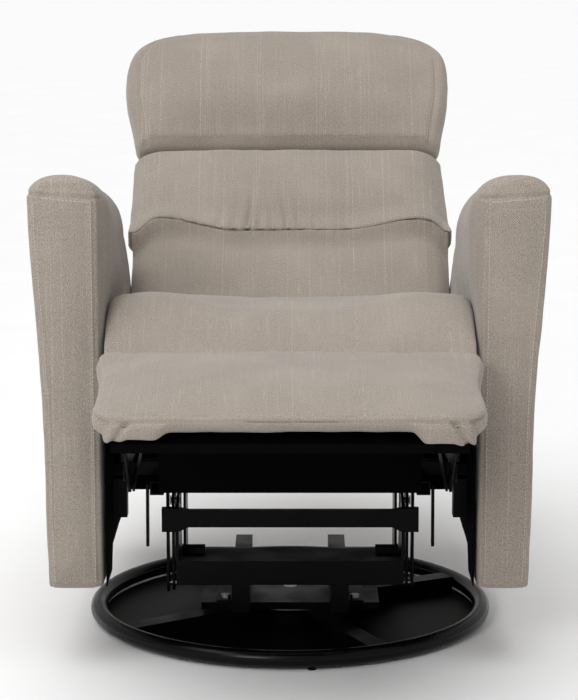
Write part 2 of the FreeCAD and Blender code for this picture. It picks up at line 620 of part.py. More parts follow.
def make_seat():
    # Corners of the plate in the seat frame: under the crank, along the rail, then up round the hip.
    plate_top = "seat_rail_high - 2"
    under_crank = [("-70", "-32"), ("-28", "-60"), ("12", "-60"), ("50", "0")]
    round_hip = [("300", "28"), ("345", "72"), ("374", "78"), ("380", "92"), ("374", "106"), ("352", "108")]
    plate_corners = under_crank + round_hip + [("seat_back + 7", plate_top), ("-70", plate_top)]
    pivots = [seat_point("seat_pivot_y", "seat_pivot_z"), seat_point("crank_y", "crank_z"),
              seat_point("hip_y", "hip_z")]
    stub = seat_point_numbers(*CROSS_PIVOT)
    holes = [(pivots[0][0], pivots[0][1], "hip_radius + play"), (pivots[1][0], pivots[1][1], PIVOT_HOLE),
             (pivots[2][0], pivots[2][1], "hip_radius"), (stub[0], stub[1], "pin_radius")]
    plate = sheet_piece("seat_plate", "YZ_Plane", plate_corners, "link_thick",
                        shifted(SEAT, x="seat_plate_in"), holes)
    pair("seat_link_plates", plate)

    hip = rivet("hip_rivet", "crank_in - 3", "seat_plate_in + link_thick", "hip_y", "hip_z",
                radius="hip_radius", head="hip_head")
    cross = rivet("cross_rivet", "cross_in - 2", "seat_plate_in + link_thick", str(CROSS_PIVOT[0]),
                  str(CROSS_PIVOT[1]))
    pair("seat_rivets", group("seat_rivets_right", hip, cross))
    front = rivet("seat_front_rivet", "seat_plate_in - 2", "side_plate_in + strap_thick", "seat_pivot_y",
                  "seat_pivot_z", radius="hip_radius", head="hip_head")
    pair("seat_pivot_rivets", front)

    rail = box("seat_rail", ("seat_rail_in", "-seat_rail_front", "seat_rail_low"),
               ("seat_plate_in", "seat_back + 12", "seat_rail_high"), SEAT)
    pair("seat_side_rails", rail)
    front_rail = box("seat_front_rail", ("-seat_rail_in", "-seat_rail_front", "seat_rail_low"),
                     ("seat_rail_in", "rail_depth - seat_rail_front", "seat_rail_high"), SEAT)
    rear_rail = box("seat_rear_rail", ("-seat_rail_in", "seat_back - rail_depth / 2", "seat_rail_low"),
                    ("seat_rail_in", "seat_back + rail_depth / 2", "seat_rail_high"), SEAT)
    publish(group("seat_cross_rails", front_rail, rear_rail), "seat_cross_rails")
    springs = [seat_spring(number) for number in range(int(value("spring_count")))]
    publish(group("springs", *springs), "seat_springs")
    board = box("board_blank", ("-board_half", "board_front", "board_low"),
                ("board_half", "board_front + board_thick", "board_high"))
    rail_notch = box("rail_notch", ("-seat_plate_in", "-seat_rail_front", "seat_rail_low"),
                     ("seat_plate_in", "seat_back", "seat_rail_high + 20"), SEAT)
    publish(cut("front_board", board, rail_notch), "front_board")
    cushion = box("seat_block", ("-seat_half", "-seat_front", "seat_low"),
                  ("seat_half", "seat_back", "seat_high"), SEAT)
    publish(rounded("seat_cushion", cushion, "seat_round"), "seat_cushion")


def seat_point_numbers(y, z):
    """A point on the chair's side view, as coordinates in the tilted seat frame."""
    point = SEAT.inverse().multVec(Vector(0, y, z))
    return "%.4f" % point.y, "%.4f" % point.z


def seat_point(y, z):
    return seat_point_numbers(value(y), value(z))


def seat_spring(number):
    """One zigzag wire spring between the front and rear rails, in straight runs and half turns."""
    centre = (number - (value("spring_count") - 1) / 2) * value("spring_pitch")
    swing, wire = value("spring_swing"), value("spring_wire")
    start = value("rail_depth - seat_rail_front")
    end = value("seat_back - rail_depth / 2")
    height = value("seat_rail_high") - 8
    turns = 14
    pitch = (end - start) / turns
    bend = pitch / 2
    edges = []
    for index in range(turns):
        side = 1 if index % 2 == 0 else -1
        y = start + bend + index * pitch
        a = Vector(centre - side * (swing - bend), y, height)
        b = Vector(centre + side * (swing - bend), y, height)
        edges.append(Part.LineSegment(a, b).toShape())
        if index < turns - 1:
            tip = Vector(centre + side * swing, y + bend, height)
            edges.append(Part.Arc(b, tip, Vector(b.x, y + pitch, height)).toShape())
    path = Part.Wire(edges)
    profile = Part.Wire(Part.makeCircle(wire, edges[0].Vertexes[0].Point, Vector(1, 0, 0)))
    spring = doc.addObject("Part::Feature", "seat_spring_%d" % number)
    spring.Shape = path.makePipeShell([profile], True, False)
    spring.Placement = SEAT
    return spring


# ---------------------------------------------------------------- back

def make_back():
    round_hip = [("frame_front - 1", "16"), ("10", "16"), ("-16", "8"), ("-14", "-16"), ("14", "-16")]
    along_post = [("frame_rear", "10"), ("frame_rear", "bracket_reach"),
                  ("frame_front - 1", "bracket_reach")]
    bracket = sheet_piece("back_bracket", "YZ_Plane", round_hip + along_post, "link_thick",
                          shifted(BACK, x="post_out"), [("0", "0", "hip_radius + play")])
    pair("back_brackets", bracket)
    pair("back_posts", box("back_post", ("post_in", "frame_front", "shell_base + 10"),
                           ("post_out", "frame_rear", "post_top"), BACK))
    levels = (("base", "base_rail_low", "base_rail_high"), ("waist", "waist_rail_low", "waist_rail_high"),
              ("top", "top_rail_low", "post_top"))
    rails = [box("back_rail_" + name, ("-post_in", "frame_front", low),
                 ("post_in", "frame_rear", high), BACK)
             for name, low, high in levels]
    publish(group("back_rails", *rails), "back_rails")
    straps = []
    for number in range(4):
        low = "strap_first + %d * strap_pitch" % number
        straps.append(box("strap_%d" % number, ("-post_out", "frame_front - 2", low),
                          ("post_out", "frame_front", low + " + webbing_width"), BACK))
    publish(group("back_webbing", *straps), "back_webbing")

    shell = rounded("back_shell", box("shell_block", ("-shell_half", "cushion_rear + 1", "shell_base"),
                                      ("shell_half", "shell_rear", "shell_top"), BACK), "12")
    room = box("shell_room", ("-post_out - 4", "cushion_rear - 5", "shell_base - 20"),
               ("post_out + 4", "frame_rear + 5", "post_top + 3"), BACK)
    publish(cut("back_shell", shell, room), "back_shell")

    cushions = (("lower_back_cushion", "lower_half", "lower_base", "lower_top - 2", "lower_front"),
                ("lumbar_cushion", "lower_half", "lower_top + 1", "lumbar_top - 2", "lumbar_front"),
                ("head_cushion", "head_half", "lumbar_top + 1", "head_top", "head_front"))
    for name, half, low, high, front in cushions:
        block = box(name + "_block", ("-" + half, "-" + front, low), (half, "cushion_rear", high), BACK)
        publish(rounded(name, block, "cushion_round"), name)


# ---------------------------------------------------------------- footrest

def knee():
    """Where the crank and the outer link meet below the line between their far pivots."""
    start = Vector(0, value("crank_y"), value("crank_z"))
    end = Vector(0, value("knuckle_y"), value("knuckle_z"))
    gap = end - start
    span = gap.Length
    crank, outer = value("crank_length"), value("outer_length")
    along = (crank ** 2 - outer ** 2 + span ** 2) / (2 * span)
    away = math.sqrt(crank ** 2 - along ** 2)
    unit = gap.normalize()
    down = Vector(0, -unit.z, unit.y)
    return start + unit * along + down * away


def bearing(start, end):
    """The direction from one side-view point to another, in degrees."""
    return math.degrees(math.atan2(end.z - start.z, end.y - start.y))


# Pivots of the footrest linkage in the side view, as Y and Z.
CROSS_PIVOT = (-167.0, 294.0)
CROSS_LINK_END = (-326.2, 276.4)
STAY_START = (-321.4, 313.6)
STAY_END = (-413.2, 391.5)


def make_footrest():
    crank_pivot = Vector(0, value("crank_y"), value("crank_z"))
    knuckle = Vector(0, value("knuckle_y"), value("knuckle_z"))
    elbow = knee()

    frame = side_frame(crank_pivot.y, crank_pivot.z, bearing(crank_pivot, elbow))
    bar = link_bar("crank", shifted(frame, z="crank_in"), "crank_length", "lever_width", "link_thick",
                   "pin_radius", "pin_radius")
    lug = link_bar("crank_lug", shifted(side_frame(STAY_START[0], STAY_START[1],
                                                   bearing(crank_pivot, elbow)), z="crank_in"),
                   "lug_length", "lug_width", "link_thick", "pin_radius", "2")
    pivot = cylinder("crank_pivot", "pin_radius", ("crank_in", "crank_y", "crank_z"),
                     "seat_plate_in + link_thick - crank_in", Vector(1, 0, 0))
    elbow_pin = rivet("elbow_pin", "outer_in - collar", "crank_in + link_thick", str(elbow.y), str(elbow.z))
    stay_pin = rivet("stay_pin", "crank_in", "stay_in + link_thick + collar", str(STAY_START[0]),
                     str(STAY_START[1]), head_at="outer")
    pair("footrest_cranks", fuse("crank", bar, lug, pivot, elbow_pin, stay_pin))
    publish(cylinder("cross_tube", "cross_tube_radius", ("-crank_in", "crank_y", "crank_z"), "2 * crank_in",
                     Vector(1, 0, 0)), "footrest_cross_tube")

    tail = Vector(0, *CROSS_LINK_END)
    frame = side_frame(knuckle.y, knuckle.z, bearing(knuckle, elbow))
    bar = link_bar("outer_link", shifted(frame, z="outer_in"), "outer_length", "lever_width", "link_thick",
                   "pin_radius", PIVOT_HOLE)
    tail_frame = side_frame(tail.y, tail.z, bearing(tail, elbow))
    tail_bar = link_bar("outer_tail", shifted(tail_frame, z="outer_in"), "%.3f" % (elbow - tail).Length,
                        "lever_width", "link_thick", "2", PIVOT_HOLE)
    knuckle_pin = rivet("knuckle_pin", "bracket_in - 2", "outer_in + link_thick", "knuckle_y", "knuckle_z")
    pair("footrest_outer_links", fuse("outer_link", bar, tail_bar, knuckle_pin))

    start = Vector(0, *CROSS_PIVOT)
    frame = side_frame(start.y, start.z, bearing(start, tail))
    cross = link_bar("cross_link", shifted(frame, z="cross_in"), "%.3f" % (tail - start).Length,
                     "lever_width - 2", "link_thick", PIVOT_HOLE, "pin_radius + open_play")
    pair("footrest_cross_links", cross)

    start, end = Vector(0, *STAY_START), Vector(0, *STAY_END)
    frame = side_frame(start.y, start.z, bearing(start, end))
    stay = link_bar("stay_link", shifted(frame, z="stay_in"), "%.3f" % (end - start).Length,
                    "lever_width - 8", "link_thick", PIVOT_HOLE, "pin_radius + open_play")
    pair("footrest_stay_links", stay)

    bracket = sheet_piece("bracket", "YZ_Plane",
                          [("55", "20"), ("55", "4"), ("20", "-14"), ("-14", "-14"), ("-60", "8"),
                           ("-130", "12"), ("-130", "20")],
                          "link_thick", shifted(FOOTREST, x="bracket_in"), [("0", "0", PIVOT_HOLE)])
    pair("footrest_brackets", bracket)
    publish(box("rest_board", ("-rest_board_half", "-pad_front + 18", "board_low_in_rest"),
                ("rest_board_half", "pad_rear - 3", "pad_low"), FOOTREST), "footrest_board")
    pad = box("pad_block", ("-pad_half", "-pad_front", "pad_low"),
              ("pad_half", "pad_rear", "pad_high"), FOOTREST)
    publish(rounded("footrest_pad", pad, "pad_round"), "footrest_pad")


# ---------------------------------------------------------------- make, check and write

make_base()
make_swivel()
make_turntable()
make_glide()
make_arms()
make_release()
make_seat()
make_back()
make_footrest()
doc.recompute()

for thing in doc.Objects:
    if "Invalid" in thing.State or "Error" in thing.State:
        raise RuntimeError("%s failed: %s" % (thing.Name, thing.State))
os.makedirs("parts", exist_ok=True)
for thing in subparts:
    shape = thing.Shape
    if shape.isNull() or not shape.isValid() or not shape.Solids:
        raise RuntimeError("%s has no valid solid" % thing.Label)
for thing in subparts:
    thing.Shape.exportStep(os.path.join("parts", thing.Label + ".step"))
print("%d sub-parts written" % len(subparts))
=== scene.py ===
"""Glider nursery chair: the padding, cloth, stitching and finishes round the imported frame."""

import itertools
import json
import math

import bmesh
import bpy
import numpy as np
from mathutils import Matrix, Vector, noise
from mathutils.bvhtree import BVHTree


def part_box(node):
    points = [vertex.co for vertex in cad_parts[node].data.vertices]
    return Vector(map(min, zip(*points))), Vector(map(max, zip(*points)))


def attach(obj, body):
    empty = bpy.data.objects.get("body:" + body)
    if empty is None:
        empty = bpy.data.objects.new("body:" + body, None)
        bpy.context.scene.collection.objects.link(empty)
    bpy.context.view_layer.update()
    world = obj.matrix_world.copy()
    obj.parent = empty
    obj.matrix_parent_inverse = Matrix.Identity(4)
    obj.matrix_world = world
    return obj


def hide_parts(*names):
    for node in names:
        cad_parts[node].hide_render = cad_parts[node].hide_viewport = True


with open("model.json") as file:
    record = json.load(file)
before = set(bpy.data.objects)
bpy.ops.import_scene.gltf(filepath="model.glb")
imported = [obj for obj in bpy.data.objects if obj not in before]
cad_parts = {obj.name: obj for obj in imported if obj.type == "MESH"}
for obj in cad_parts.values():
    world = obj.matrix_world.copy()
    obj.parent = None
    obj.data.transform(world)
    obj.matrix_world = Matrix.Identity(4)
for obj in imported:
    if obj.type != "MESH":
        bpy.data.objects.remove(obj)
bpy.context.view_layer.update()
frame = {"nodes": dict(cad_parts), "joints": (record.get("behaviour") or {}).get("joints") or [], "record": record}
scene = bpy.context.scene
UPHOLSTERY = "upholstery"


def adjust(thing, **settings):
    for setting, choice in settings.items():
        setattr(thing, setting, choice)


def add(name, data):
    """A new object in the scene."""
    thing = bpy.data.objects.new(name, data)
    scene.collection.objects.link(thing)
    return thing


# ---- places, from the frame

def pivot_frame(joint, degrees):
    """A working frame at a joint's pivot, turned about X."""
    pivot = next(j["pos_m"] for j in frame["joints"] if j["name"] == joint)
    return Matrix.Translation(pivot) @ Matrix.Rotation(math.radians(degrees), 4, "X")


SEAT_SLOPE = -12
BACK_SLOPE = -43
FOOTREST_SLOPE = 6
# In a pad's frame X goes across it, Y runs along the cloth and Z points out of its face.
SEAT_PAD = pivot_frame("seat_tilt", SEAT_SLOPE)
BACK_PAD = pivot_frame("recline", BACK_SLOPE + 90)
FOOT_PAD = pivot_frame("footrest_pad_turn", FOOTREST_SLOPE)


def cad_points(node):
    data = frame["nodes"][node].data
    points = np.zeros(len(data.vertices) * 3)
    data.vertices.foreach_get("co", points)
    return points.reshape(-1, 3)


def extent(node, place):
    """Lowest and highest corner of a CAD node in a working frame."""
    inverse = np.array(place.inverted())
    points = cad_points(node) @ inverse[:3, :3].T + inverse[:3, 3]
    return points.min(0), points.max(0)


# ---- node materials

def linear(red, green, blue):
    """An 8-bit screen colour as the linear RGBA that shaders take."""
    channels = [c / 255 for c in (red, green, blue)]
    return [c / 12.92 if c <= 0.04045 else ((c + 0.055) / 1.055) ** 2.4 for c in channels] + [1]


def grey(level):
    return linear(level, level, level)


BEVEL_SAMPLES = 6


class Look:
    """A material under construction, with short calls for the nodes that it needs."""

    def __init__(self, name, roughness=0.5, **sockets):
        self.material = bpy.data.materials.new(name)
        self.material.use_nodes = True
        self.tree = self.material.node_tree
        self.shader = self.tree.nodes["Principled BSDF"]
        self.shader.inputs["Roughness"].default_value = roughness
        for socket, setting in sockets.items():
            title = socket.replace("_", " ").title().replace("Ior", "IOR")
            self.shader.inputs[title].default_value = setting
        coordinates = self.node("TexCoord", {}).outputs
        self.place, self.facing = coordinates["Object"], coordinates["Normal"]

    def feed(self, socket, source):
        if hasattr(source, "is_output"):
            self.tree.links.new(source, socket)
        else:
            socket.default_value = source

    def node(self, kind, inputs, **settings):
        """A new node with its attributes set, and its sockets fed by name or number."""
        node = self.tree.nodes.new("ShaderNode" + kind)
        adjust(node, **settings)
        for socket, source in inputs.items():
            self.feed(node.inputs[socket], source)
        return node

    def math(self, operation, *sources):
        return self.node("Math", dict(enumerate(sources)), operation=operation).outputs[0]

    def times(self, first, second):
        return self.math("MULTIPLY", first, second)

    def plus(self, first, second):
        return self.math("ADD", first, second)

    def minus(self, first, second):
        return self.math("SUBTRACT", first, second)

    def scaled(self, source, factor, offset):
        return self.math("MULTIPLY_ADD", source, factor, offset)

    def split(self, source):
        return self.node("SeparateXYZ", {0: source}).outputs

    def join(self, x, y, z=0.0):
        return self.node("CombineXYZ", {0: x, 1: y, 2: z}).outputs[0]

    def choose(self, share, first, second):
        """first where share is 0 and second where it is 1."""
        return self.node("Mix", {"Factor": share, "A": first, "B": second}).outputs["Result"]

    def tint(self, share, first, second):
        """The same choice between two colours."""
        return self.node("Mix", {"Factor": share, 6: first, 7: second}, data_type="RGBA").outputs[2]

    def noise(self, vector, scale, detail=2.0, roughness=0.5):
        inputs = {"Vector": vector, "Scale": scale, "Detail": detail, "Roughness": roughness}
        return self.node("TexNoise", inputs).outputs["Fac"]

    def ramp(self, source, low, high):
        """0 below low and 1 above high, with a smooth step between."""
        inputs = {"Value": source, "From Min": low, "From Max": high}
        return self.node("MapRange", inputs, interpolation_type="SMOOTHSTEP").outputs["Result"]

    def wave(self, source, pitch):
        """A sine from 0 to 1 that repeats every pitch metres."""
        turned = self.times(source, 2 * math.pi / pitch)
        return self.scaled(self.math("SINE", turned), 0.5, 0.5)

    def bump(self, height, distance, strength, normal=None):
        inputs = {"Strength": strength, "Distance": distance, "Height": height}
        if normal is not None:
            inputs["Normal"] = normal
        return self.node("Bump", inputs).outputs["Normal"]

    def edge(self, radius):
        """The rounded-edge normal, and how far it leans from the face."""
        rounded = self.node("Bevel", {"Radius": radius}, samples=BEVEL_SAMPLES).outputs[0]
        flat = self.node("NewGeometry", {}).outputs["True Normal"]
        dot = self.node("VectorMath", {0: rounded, 1: flat}, operation="DOT_PRODUCT")
        return rounded, self.minus(1.0, dot.outputs["Value"])

    def done(self, colour, roughness=None, normal=None):
        for socket, source in (("Base Color", colour), ("Roughness", roughness), ("Normal", normal)):
            if source is not None:
                self.feed(self.shader.inputs[socket], source)
        return self.material


def cloth_coordinates(look, side_runs_up):
    """Across and along coordinates on the cloth, from the face that each point looks out of."""
    x, y, z = look.split(look.place)
    facing = [look.math("ABSOLUTE", n) for n in look.split(look.facing)]
    on_side = look.math("GREATER_THAN", facing[0], look.math("MAXIMUM", facing[1], facing[2]))
    on_top = look.math("GREATER_THAN", facing[2], facing[1])
    along = look.choose(on_top, z, y)
    if side_runs_up:
        return look.choose(on_side, x, y), look.choose(on_side, along, z)
    return look.choose(on_side, x, z), look.choose(on_side, along, y)


YARN_PITCH = 0.0013
TWILL_PITCH = 0.0034
SLUB_WIDTH = 0.0014
CLOTH_DARK = linear(96, 87, 79)
CLOTH_MIDDLE = linear(178, 168, 157)
CLOTH_LIGHT = linear(205, 196, 184)
CLOTH_WORN = linear(176, 165, 152)


def upholstery(name, contrast, side_runs_up=False):
    """Greige cloth: crossed diagonals of dark and light yarn, with pale slubs that run along it."""
    look = Look(name, roughness=0.92, sheen_weight=0.25, sheen_roughness=0.45,
                    specular_ior_level=0.18)
    across, along = cloth_coordinates(look, side_runs_up)
    flat = look.join(across, along)
    wander = look.scaled(look.noise(flat, 140), 0.0016, across)
    along_wander = look.scaled(look.noise(flat, 90), 0.0012, along)
    warp = look.wave(wander, YARN_PITCH)
    weft = look.wave(along_wander, YARN_PITCH * 1.15)
    falling = look.wave(look.plus(wander, along_wander), TWILL_PITCH)
    rising = look.wave(look.minus(wander, along_wander), TWILL_PITCH * 0.93)
    patch = look.ramp(look.noise(look.join(across, look.times(along, 0.25)), 28), 0.42, 0.6)
    twill = look.choose(patch, falling, rising)
    yarn = look.times(look.plus(warp, weft), 0.5)
    weave = look.plus(look.times(twill, 0.36), look.times(yarn, 0.64))

    stretched = look.join(look.math("DIVIDE", across, SLUB_WIDTH), look.times(along, 14))
    slub = look.ramp(look.noise(stretched, 1.0, detail=1.0), 0.60, 0.74)
    long_run = look.join(look.math("DIVIDE", across, SLUB_WIDTH * 1.2), look.times(along, 1.2))
    streak = look.ramp(look.noise(long_run, 1.0, detail=1.0), 0.62, 0.72)
    dashes = look.ramp(look.noise(flat, 380), 0.42, 0.55)
    streak = look.times(streak, dashes)
    pale = look.math("MAXIMUM", look.times(slub, 0.18), look.times(streak, 0.40))
    heather = look.noise(flat, 700, detail=1.0)
    cloudy = look.noise(flat, 9, detail=3.0)

    fleck = look.join(look.times(across, 1.5), look.times(along, 0.8))
    mottle = look.noise(fleck, 360, detail=3.0, roughness=0.75)
    level = look.scaled(weave, 0.42, look.times(heather, 0.30))
    level = look.scaled(mottle, 0.45, level)
    level = look.ramp(level, 0.585 - 0.30 / contrast, 0.585 + 0.30 / contrast)
    colour = look.tint(level, CLOTH_DARK, CLOTH_MIDDLE)
    colour = look.tint(pale, colour, CLOTH_LIGHT)
    colour = look.tint(look.times(look.ramp(cloudy, 0.4, 0.75), 0.22), colour, CLOTH_WORN)
    height = look.scaled(pale, 0.35, weave)
    return look.done(colour, normal=look.bump(height, 0.0007, 0.55))


def thread_finish():
    look = Look("pale_thread", roughness=0.7, sheen_weight=0.1)
    twist = look.noise(look.place, 1600, detail=1.0)
    colour = look.tint(twist, linear(166, 156, 144), linear(206, 197, 186))
    return look.done(colour, normal=look.bump(twist, 0.0002, 0.5))


def black_cloth():
    """Black non-woven cloth: pressed fibres with a faint grid of bond points."""
    look = Look("black_cambric", roughness=0.95, specular_ior_level=0.03)
    fibres = look.noise(look.place, 700, detail=4.0, roughness=0.7)
    x, y, z = look.split(look.place)
    points = look.times(look.wave(look.plus(x, y), 0.003), look.wave(z, 0.003))
    colour = look.tint(fibres, grey(2), grey(9))
    height = look.minus(fibres, look.times(points, 0.4))
    return look.done(colour, normal=look.bump(height, 0.0004, 0.5))


def powder_coat(name, dull=0.46, shiny=0.30, gloss=0.07):
    """Black powder coat: a fine orange-peel skin, dusty in places, with a painted highlight that makes its rounded
    edges paler in patches.
    """
    look = Look(name, roughness=dull, specular_ior_level=gloss)
    peel = look.noise(look.place, 520, detail=2.0)
    patches = look.noise(look.place, 16, detail=4.0)
    rounded, lean = look.edge(0.0016)
    # Painted highlight: noise breaks up the paler tint laid along the rounded edges.
    highlight_breakup = look.ramp(look.noise(look.place, 60), 0.45, 0.62)
    painted_edge_highlight = look.times(look.ramp(lean, 0.02, 0.2), highlight_breakup)
    colour = look.tint(patches, grey(2), grey(7))
    # Painted highlight: rounded edges are tinted paler grey, as if light glinted off them.
    colour = look.tint(look.times(painted_edge_highlight, 0.4), colour, linear(62, 60, 58))
    roughness = look.choose(look.ramp(patches, 0.35, 0.7), shiny, dull)
    return look.done(colour, roughness, look.bump(peel, 0.00012, 0.5, rounded))


def bare_metal(name, dark, light, roughness):
    """Plated or oiled steel with fine drawn lines and dull smears."""
    look = Look(name, roughness=roughness, metallic=1.0)
    x, y, z = look.split(look.place)
    lines = look.noise(look.join(look.times(x, 0.15), y, z), 900, detail=2.0)
    smears = look.noise(look.place, 45, detail=3.0)
    rounded, _ = look.edge(0.0008)
    colour = look.tint(look.scaled(lines, 0.5, look.times(smears, 0.5)), dark, light)
    dulled = look.choose(smears, roughness - 0.1, roughness + 0.2)
    return look.done(colour, dulled, look.bump(lines, 0.00005, 0.4, rounded))


def moulded(name, dark, light, roughness, grain):
    """Moulded plastic or rubber with a pebbled skin, and a painted highlight that makes its rounded edges paler.
    """
    look = Look(name, roughness=roughness, specular_ior_level=0.07)
    pebbles = look.node("TexVoronoi", {"Vector": look.place, "Scale": grain}).outputs["Distance"]
    rounded, lean = look.edge(0.001)
    cloud = look.noise(look.place, 30, detail=3.0)
    colour = look.tint(cloud, dark, light)
    # Painted highlight: rounded edges are tinted towards a paler grey, as if light glinted off them.
    colour = look.tint(look.times(look.ramp(lean, 0.02, 0.2), 0.3), colour, grey(70))
    return look.done(colour, normal=look.bump(pebbles, 0.00025, 0.6, rounded))


def plywood():
    """Sawn timber and plywood: growth rings stretched along the grain, with darker ply lines."""
    look = Look("timber_grain", roughness=0.62, specular_ior_level=0.3)
    x, y, z = look.split(look.place)
    stretched = look.join(look.times(x, 22), look.times(y, 22), look.times(z, 1.6))
    rings = look.noise(stretched, 2.2, detail=5.0, roughness=0.6)
    bands = look.wave(look.scaled(rings, 0.02, x), 0.0031)
    pores = look.noise(stretched, 30, detail=2.0)
    colour = look.tint(rings, linear(150, 112, 72), linear(214, 180, 132))
    colour = look.tint(look.times(bands, 0.25), colour, linear(116, 82, 50))
    colour = look.tint(look.times(look.ramp(pores, 0.6, 0.75), 0.5), colour, linear(96, 66, 40))
    return look.done(colour, normal=look.bump(look.plus(rings, pores), 0.0003, 0.4))


def elastic():
    """Woven elastic webbing: ribs across it and two stripes along it."""
    look = Look("elastic_webbing", roughness=0.85, sheen_weight=0.1)
    x, _, z = look.split(look.place)
    ribs = look.wave(x, 0.0024)
    cords = look.wave(z, 0.0016)
    weave = look.times(ribs, cords)
    colour = look.tint(weave, linear(40, 34, 30), linear(96, 88, 80))
    colour = look.tint(look.ramp(look.wave(z, 0.025), 0.88, 0.96), colour, linear(150, 60, 44))
    return look.done(colour, normal=look.bump(weave, 0.0006, 0.6))


# ---- mesh helpers

def new_piece(name, points, faces, place=None):
    data = bpy.data.meshes.new(name)
    data.from_pydata([tuple(p) for p in points], [], faces)
    data.update()
    piece = add(name, data)
    if place is not None:
        piece.matrix_world = place
    return piece


def tidy_faces(piece):
    """Doubles merged and every face turned outwards."""
    mesh = bmesh.new()
    mesh.from_mesh(piece.data)
    bmesh.ops.remove_doubles(mesh, verts=mesh.verts, dist=1e-6)
    bmesh.ops.recalc_face_normals(mesh, faces=mesh.faces)
    mesh.to_mesh(piece.data)
    mesh.free()


def apply_modifiers(piece):
    bpy.context.view_layer.update()
    evaluated = piece.evaluated_get(bpy.context.evaluated_depsgraph_get())
    data = bpy.data.meshes.new_from_object(evaluated)
    data.name = piece.name
    piece.modifiers.clear()
    piece.data = data


def read(piece):
    points = np.zeros(len(piece.data.vertices) * 3)
    piece.data.vertices.foreach_get("co", points)
    return points.reshape(-1, 3)


def spread(piece):
    """The points, and views of their x, y and z, which change with them."""
    points = read(piece)
    return points, *points.T


def normals(piece):
    out = np.zeros(len(piece.data.vertices) * 3)
    piece.data.vertices.foreach_get("normal", out)
    return out.reshape(-1, 3)


def write(piece, points):
    piece.data.vertices.foreach_set("co", points.ravel())
    piece.data.update()


def smooth_shade(piece):
    piece.data.polygons.foreach_set("use_smooth", [True] * len(piece.data.polygons))


def modify(piece, kind, **settings):
    """The piece's mesh changed by one modifier."""
    adjust(piece.modifiers.new(kind, kind), **settings)
    apply_modifiers(piece)


def subdivide(piece):
    modify(piece, "SUBSURF", levels=1, render_levels=1)


def unit(value, reach):
    """The value as a share of reach, held between 0 and 1."""
    return np.clip(value / reach, 0, 1)


def ease(value, low, high):
    """0 below low and 1 above high, with a smooth step between."""
    share = unit(value - low, high - low)
    return share * share * (3 - 2 * share)


def bell(distance, width):
    return np.exp(-(distance / width) ** 2)


def press(piece, distance, depth, width, where=1.0):
    """Pushes the surface in along a seam: distance is each point's distance from the seam line."""
    points = read(piece)
    points -= normals(piece) * (depth * bell(distance, width) * where)[:, None]
    write(piece, points)


# Unevenness of each piece: how far its cloth wanders, over what distance, and a seed.
RIPPLES = {
    "arm_cover_right": ((0.0016, 0.11, 4), (0.0007, 0.035, 10)),
    "arm_cover_left": ((0.0016, 0.11, 2), (0.0007, 0.035, 8)),
    "seat_pad": ((0.0022, 0.09, 21), (0.0008, 0.03, 22)),
    "footrest_cushion": ((0.0018, 0.08, 31), (0.0009, 0.028, 32)),
    "head_pillow": ((0.0020, 0.10, 41), (0.0007, 0.03, 42)),
    "lumbar_roll": ((0.0022, 0.09, 51), (0.0009, 0.028, 52)),
    "lower_back_pad": ((0.0022, 0.10, 61), (0.0008, 0.03, 62)),
    "outer_back": ((0.0015, 0.12, 71),),
}


def ripple(piece):
    """Soft unevenness, as in stuffed cloth."""
    for amount, size, seed in RIPPLES[piece.name]:
        points = read(piece)
        shift = Vector((seed * 7.3, seed * 3.1, seed * 1.7))
        heights = np.array([noise.noise(Vector(p) / size + shift) for p in points])
        write(piece, points + normals(piece) * (amount * heights)[:, None])


def slab(name, outline, low, high, edge, place):
    """A closed prism over a plan outline, its rims rounded."""
    count = len(outline)
    points = [(x, y, low) for x, y in outline] + [(x, y, high) for x, y in outline]
    faces = [tuple(reversed(range(count))), tuple(range(count, 2 * count))]
    faces += [(i, (i + 1) % count, count + (i + 1) % count, count + i) for i in range(count)]
    piece = new_piece(name, points, faces, place)
    mesh = bmesh.new()
    mesh.from_mesh(piece.data)
    bmesh.ops.recalc_face_normals(mesh, faces=mesh.faces)
    rims = [e for e in mesh.edges if abs(e.verts[0].co.z - e.verts[1].co.z) < 1e-7]
    bmesh.ops.bevel(mesh, geom=rims, offset=edge, segments=3, profile=0.5, affect="EDGES")
    mesh.to_mesh(piece.data)
    mesh.free()
    return piece


def even_out(piece, amounts, rounds):
    """Averages an amount held at each point with its neighbours', as taut cloth would."""
    edges = np.zeros(len(piece.data.edges) * 2, dtype=np.int64)
    piece.data.edges.foreach_get("vertices", edges)
    edges = edges.reshape(-1, 2)
    count = np.bincount(edges.ravel(), minlength=len(amounts))
    for _ in range(rounds):
        total = np.bincount(edges[:, 0], amounts[edges[:, 1]], minlength=len(amounts))
        total += np.bincount(edges[:, 1], amounts[edges[:, 0]], minlength=len(amounts))
        amounts = 0.4 * amounts + 0.6 * total / np.maximum(count, 1)
    return amounts


VOXEL = 0.0065
SIM_FRAMES = 20
CLOTH_SETTINGS = {
    "quality": 4, "mass": 0.3, "tension_stiffness": 12, "compression_stiffness": 12, "shear_stiffness": 6,
    "bending_stiffness": 0.6, "use_pressure": True, "uniform_pressure_force": 4.0,
}


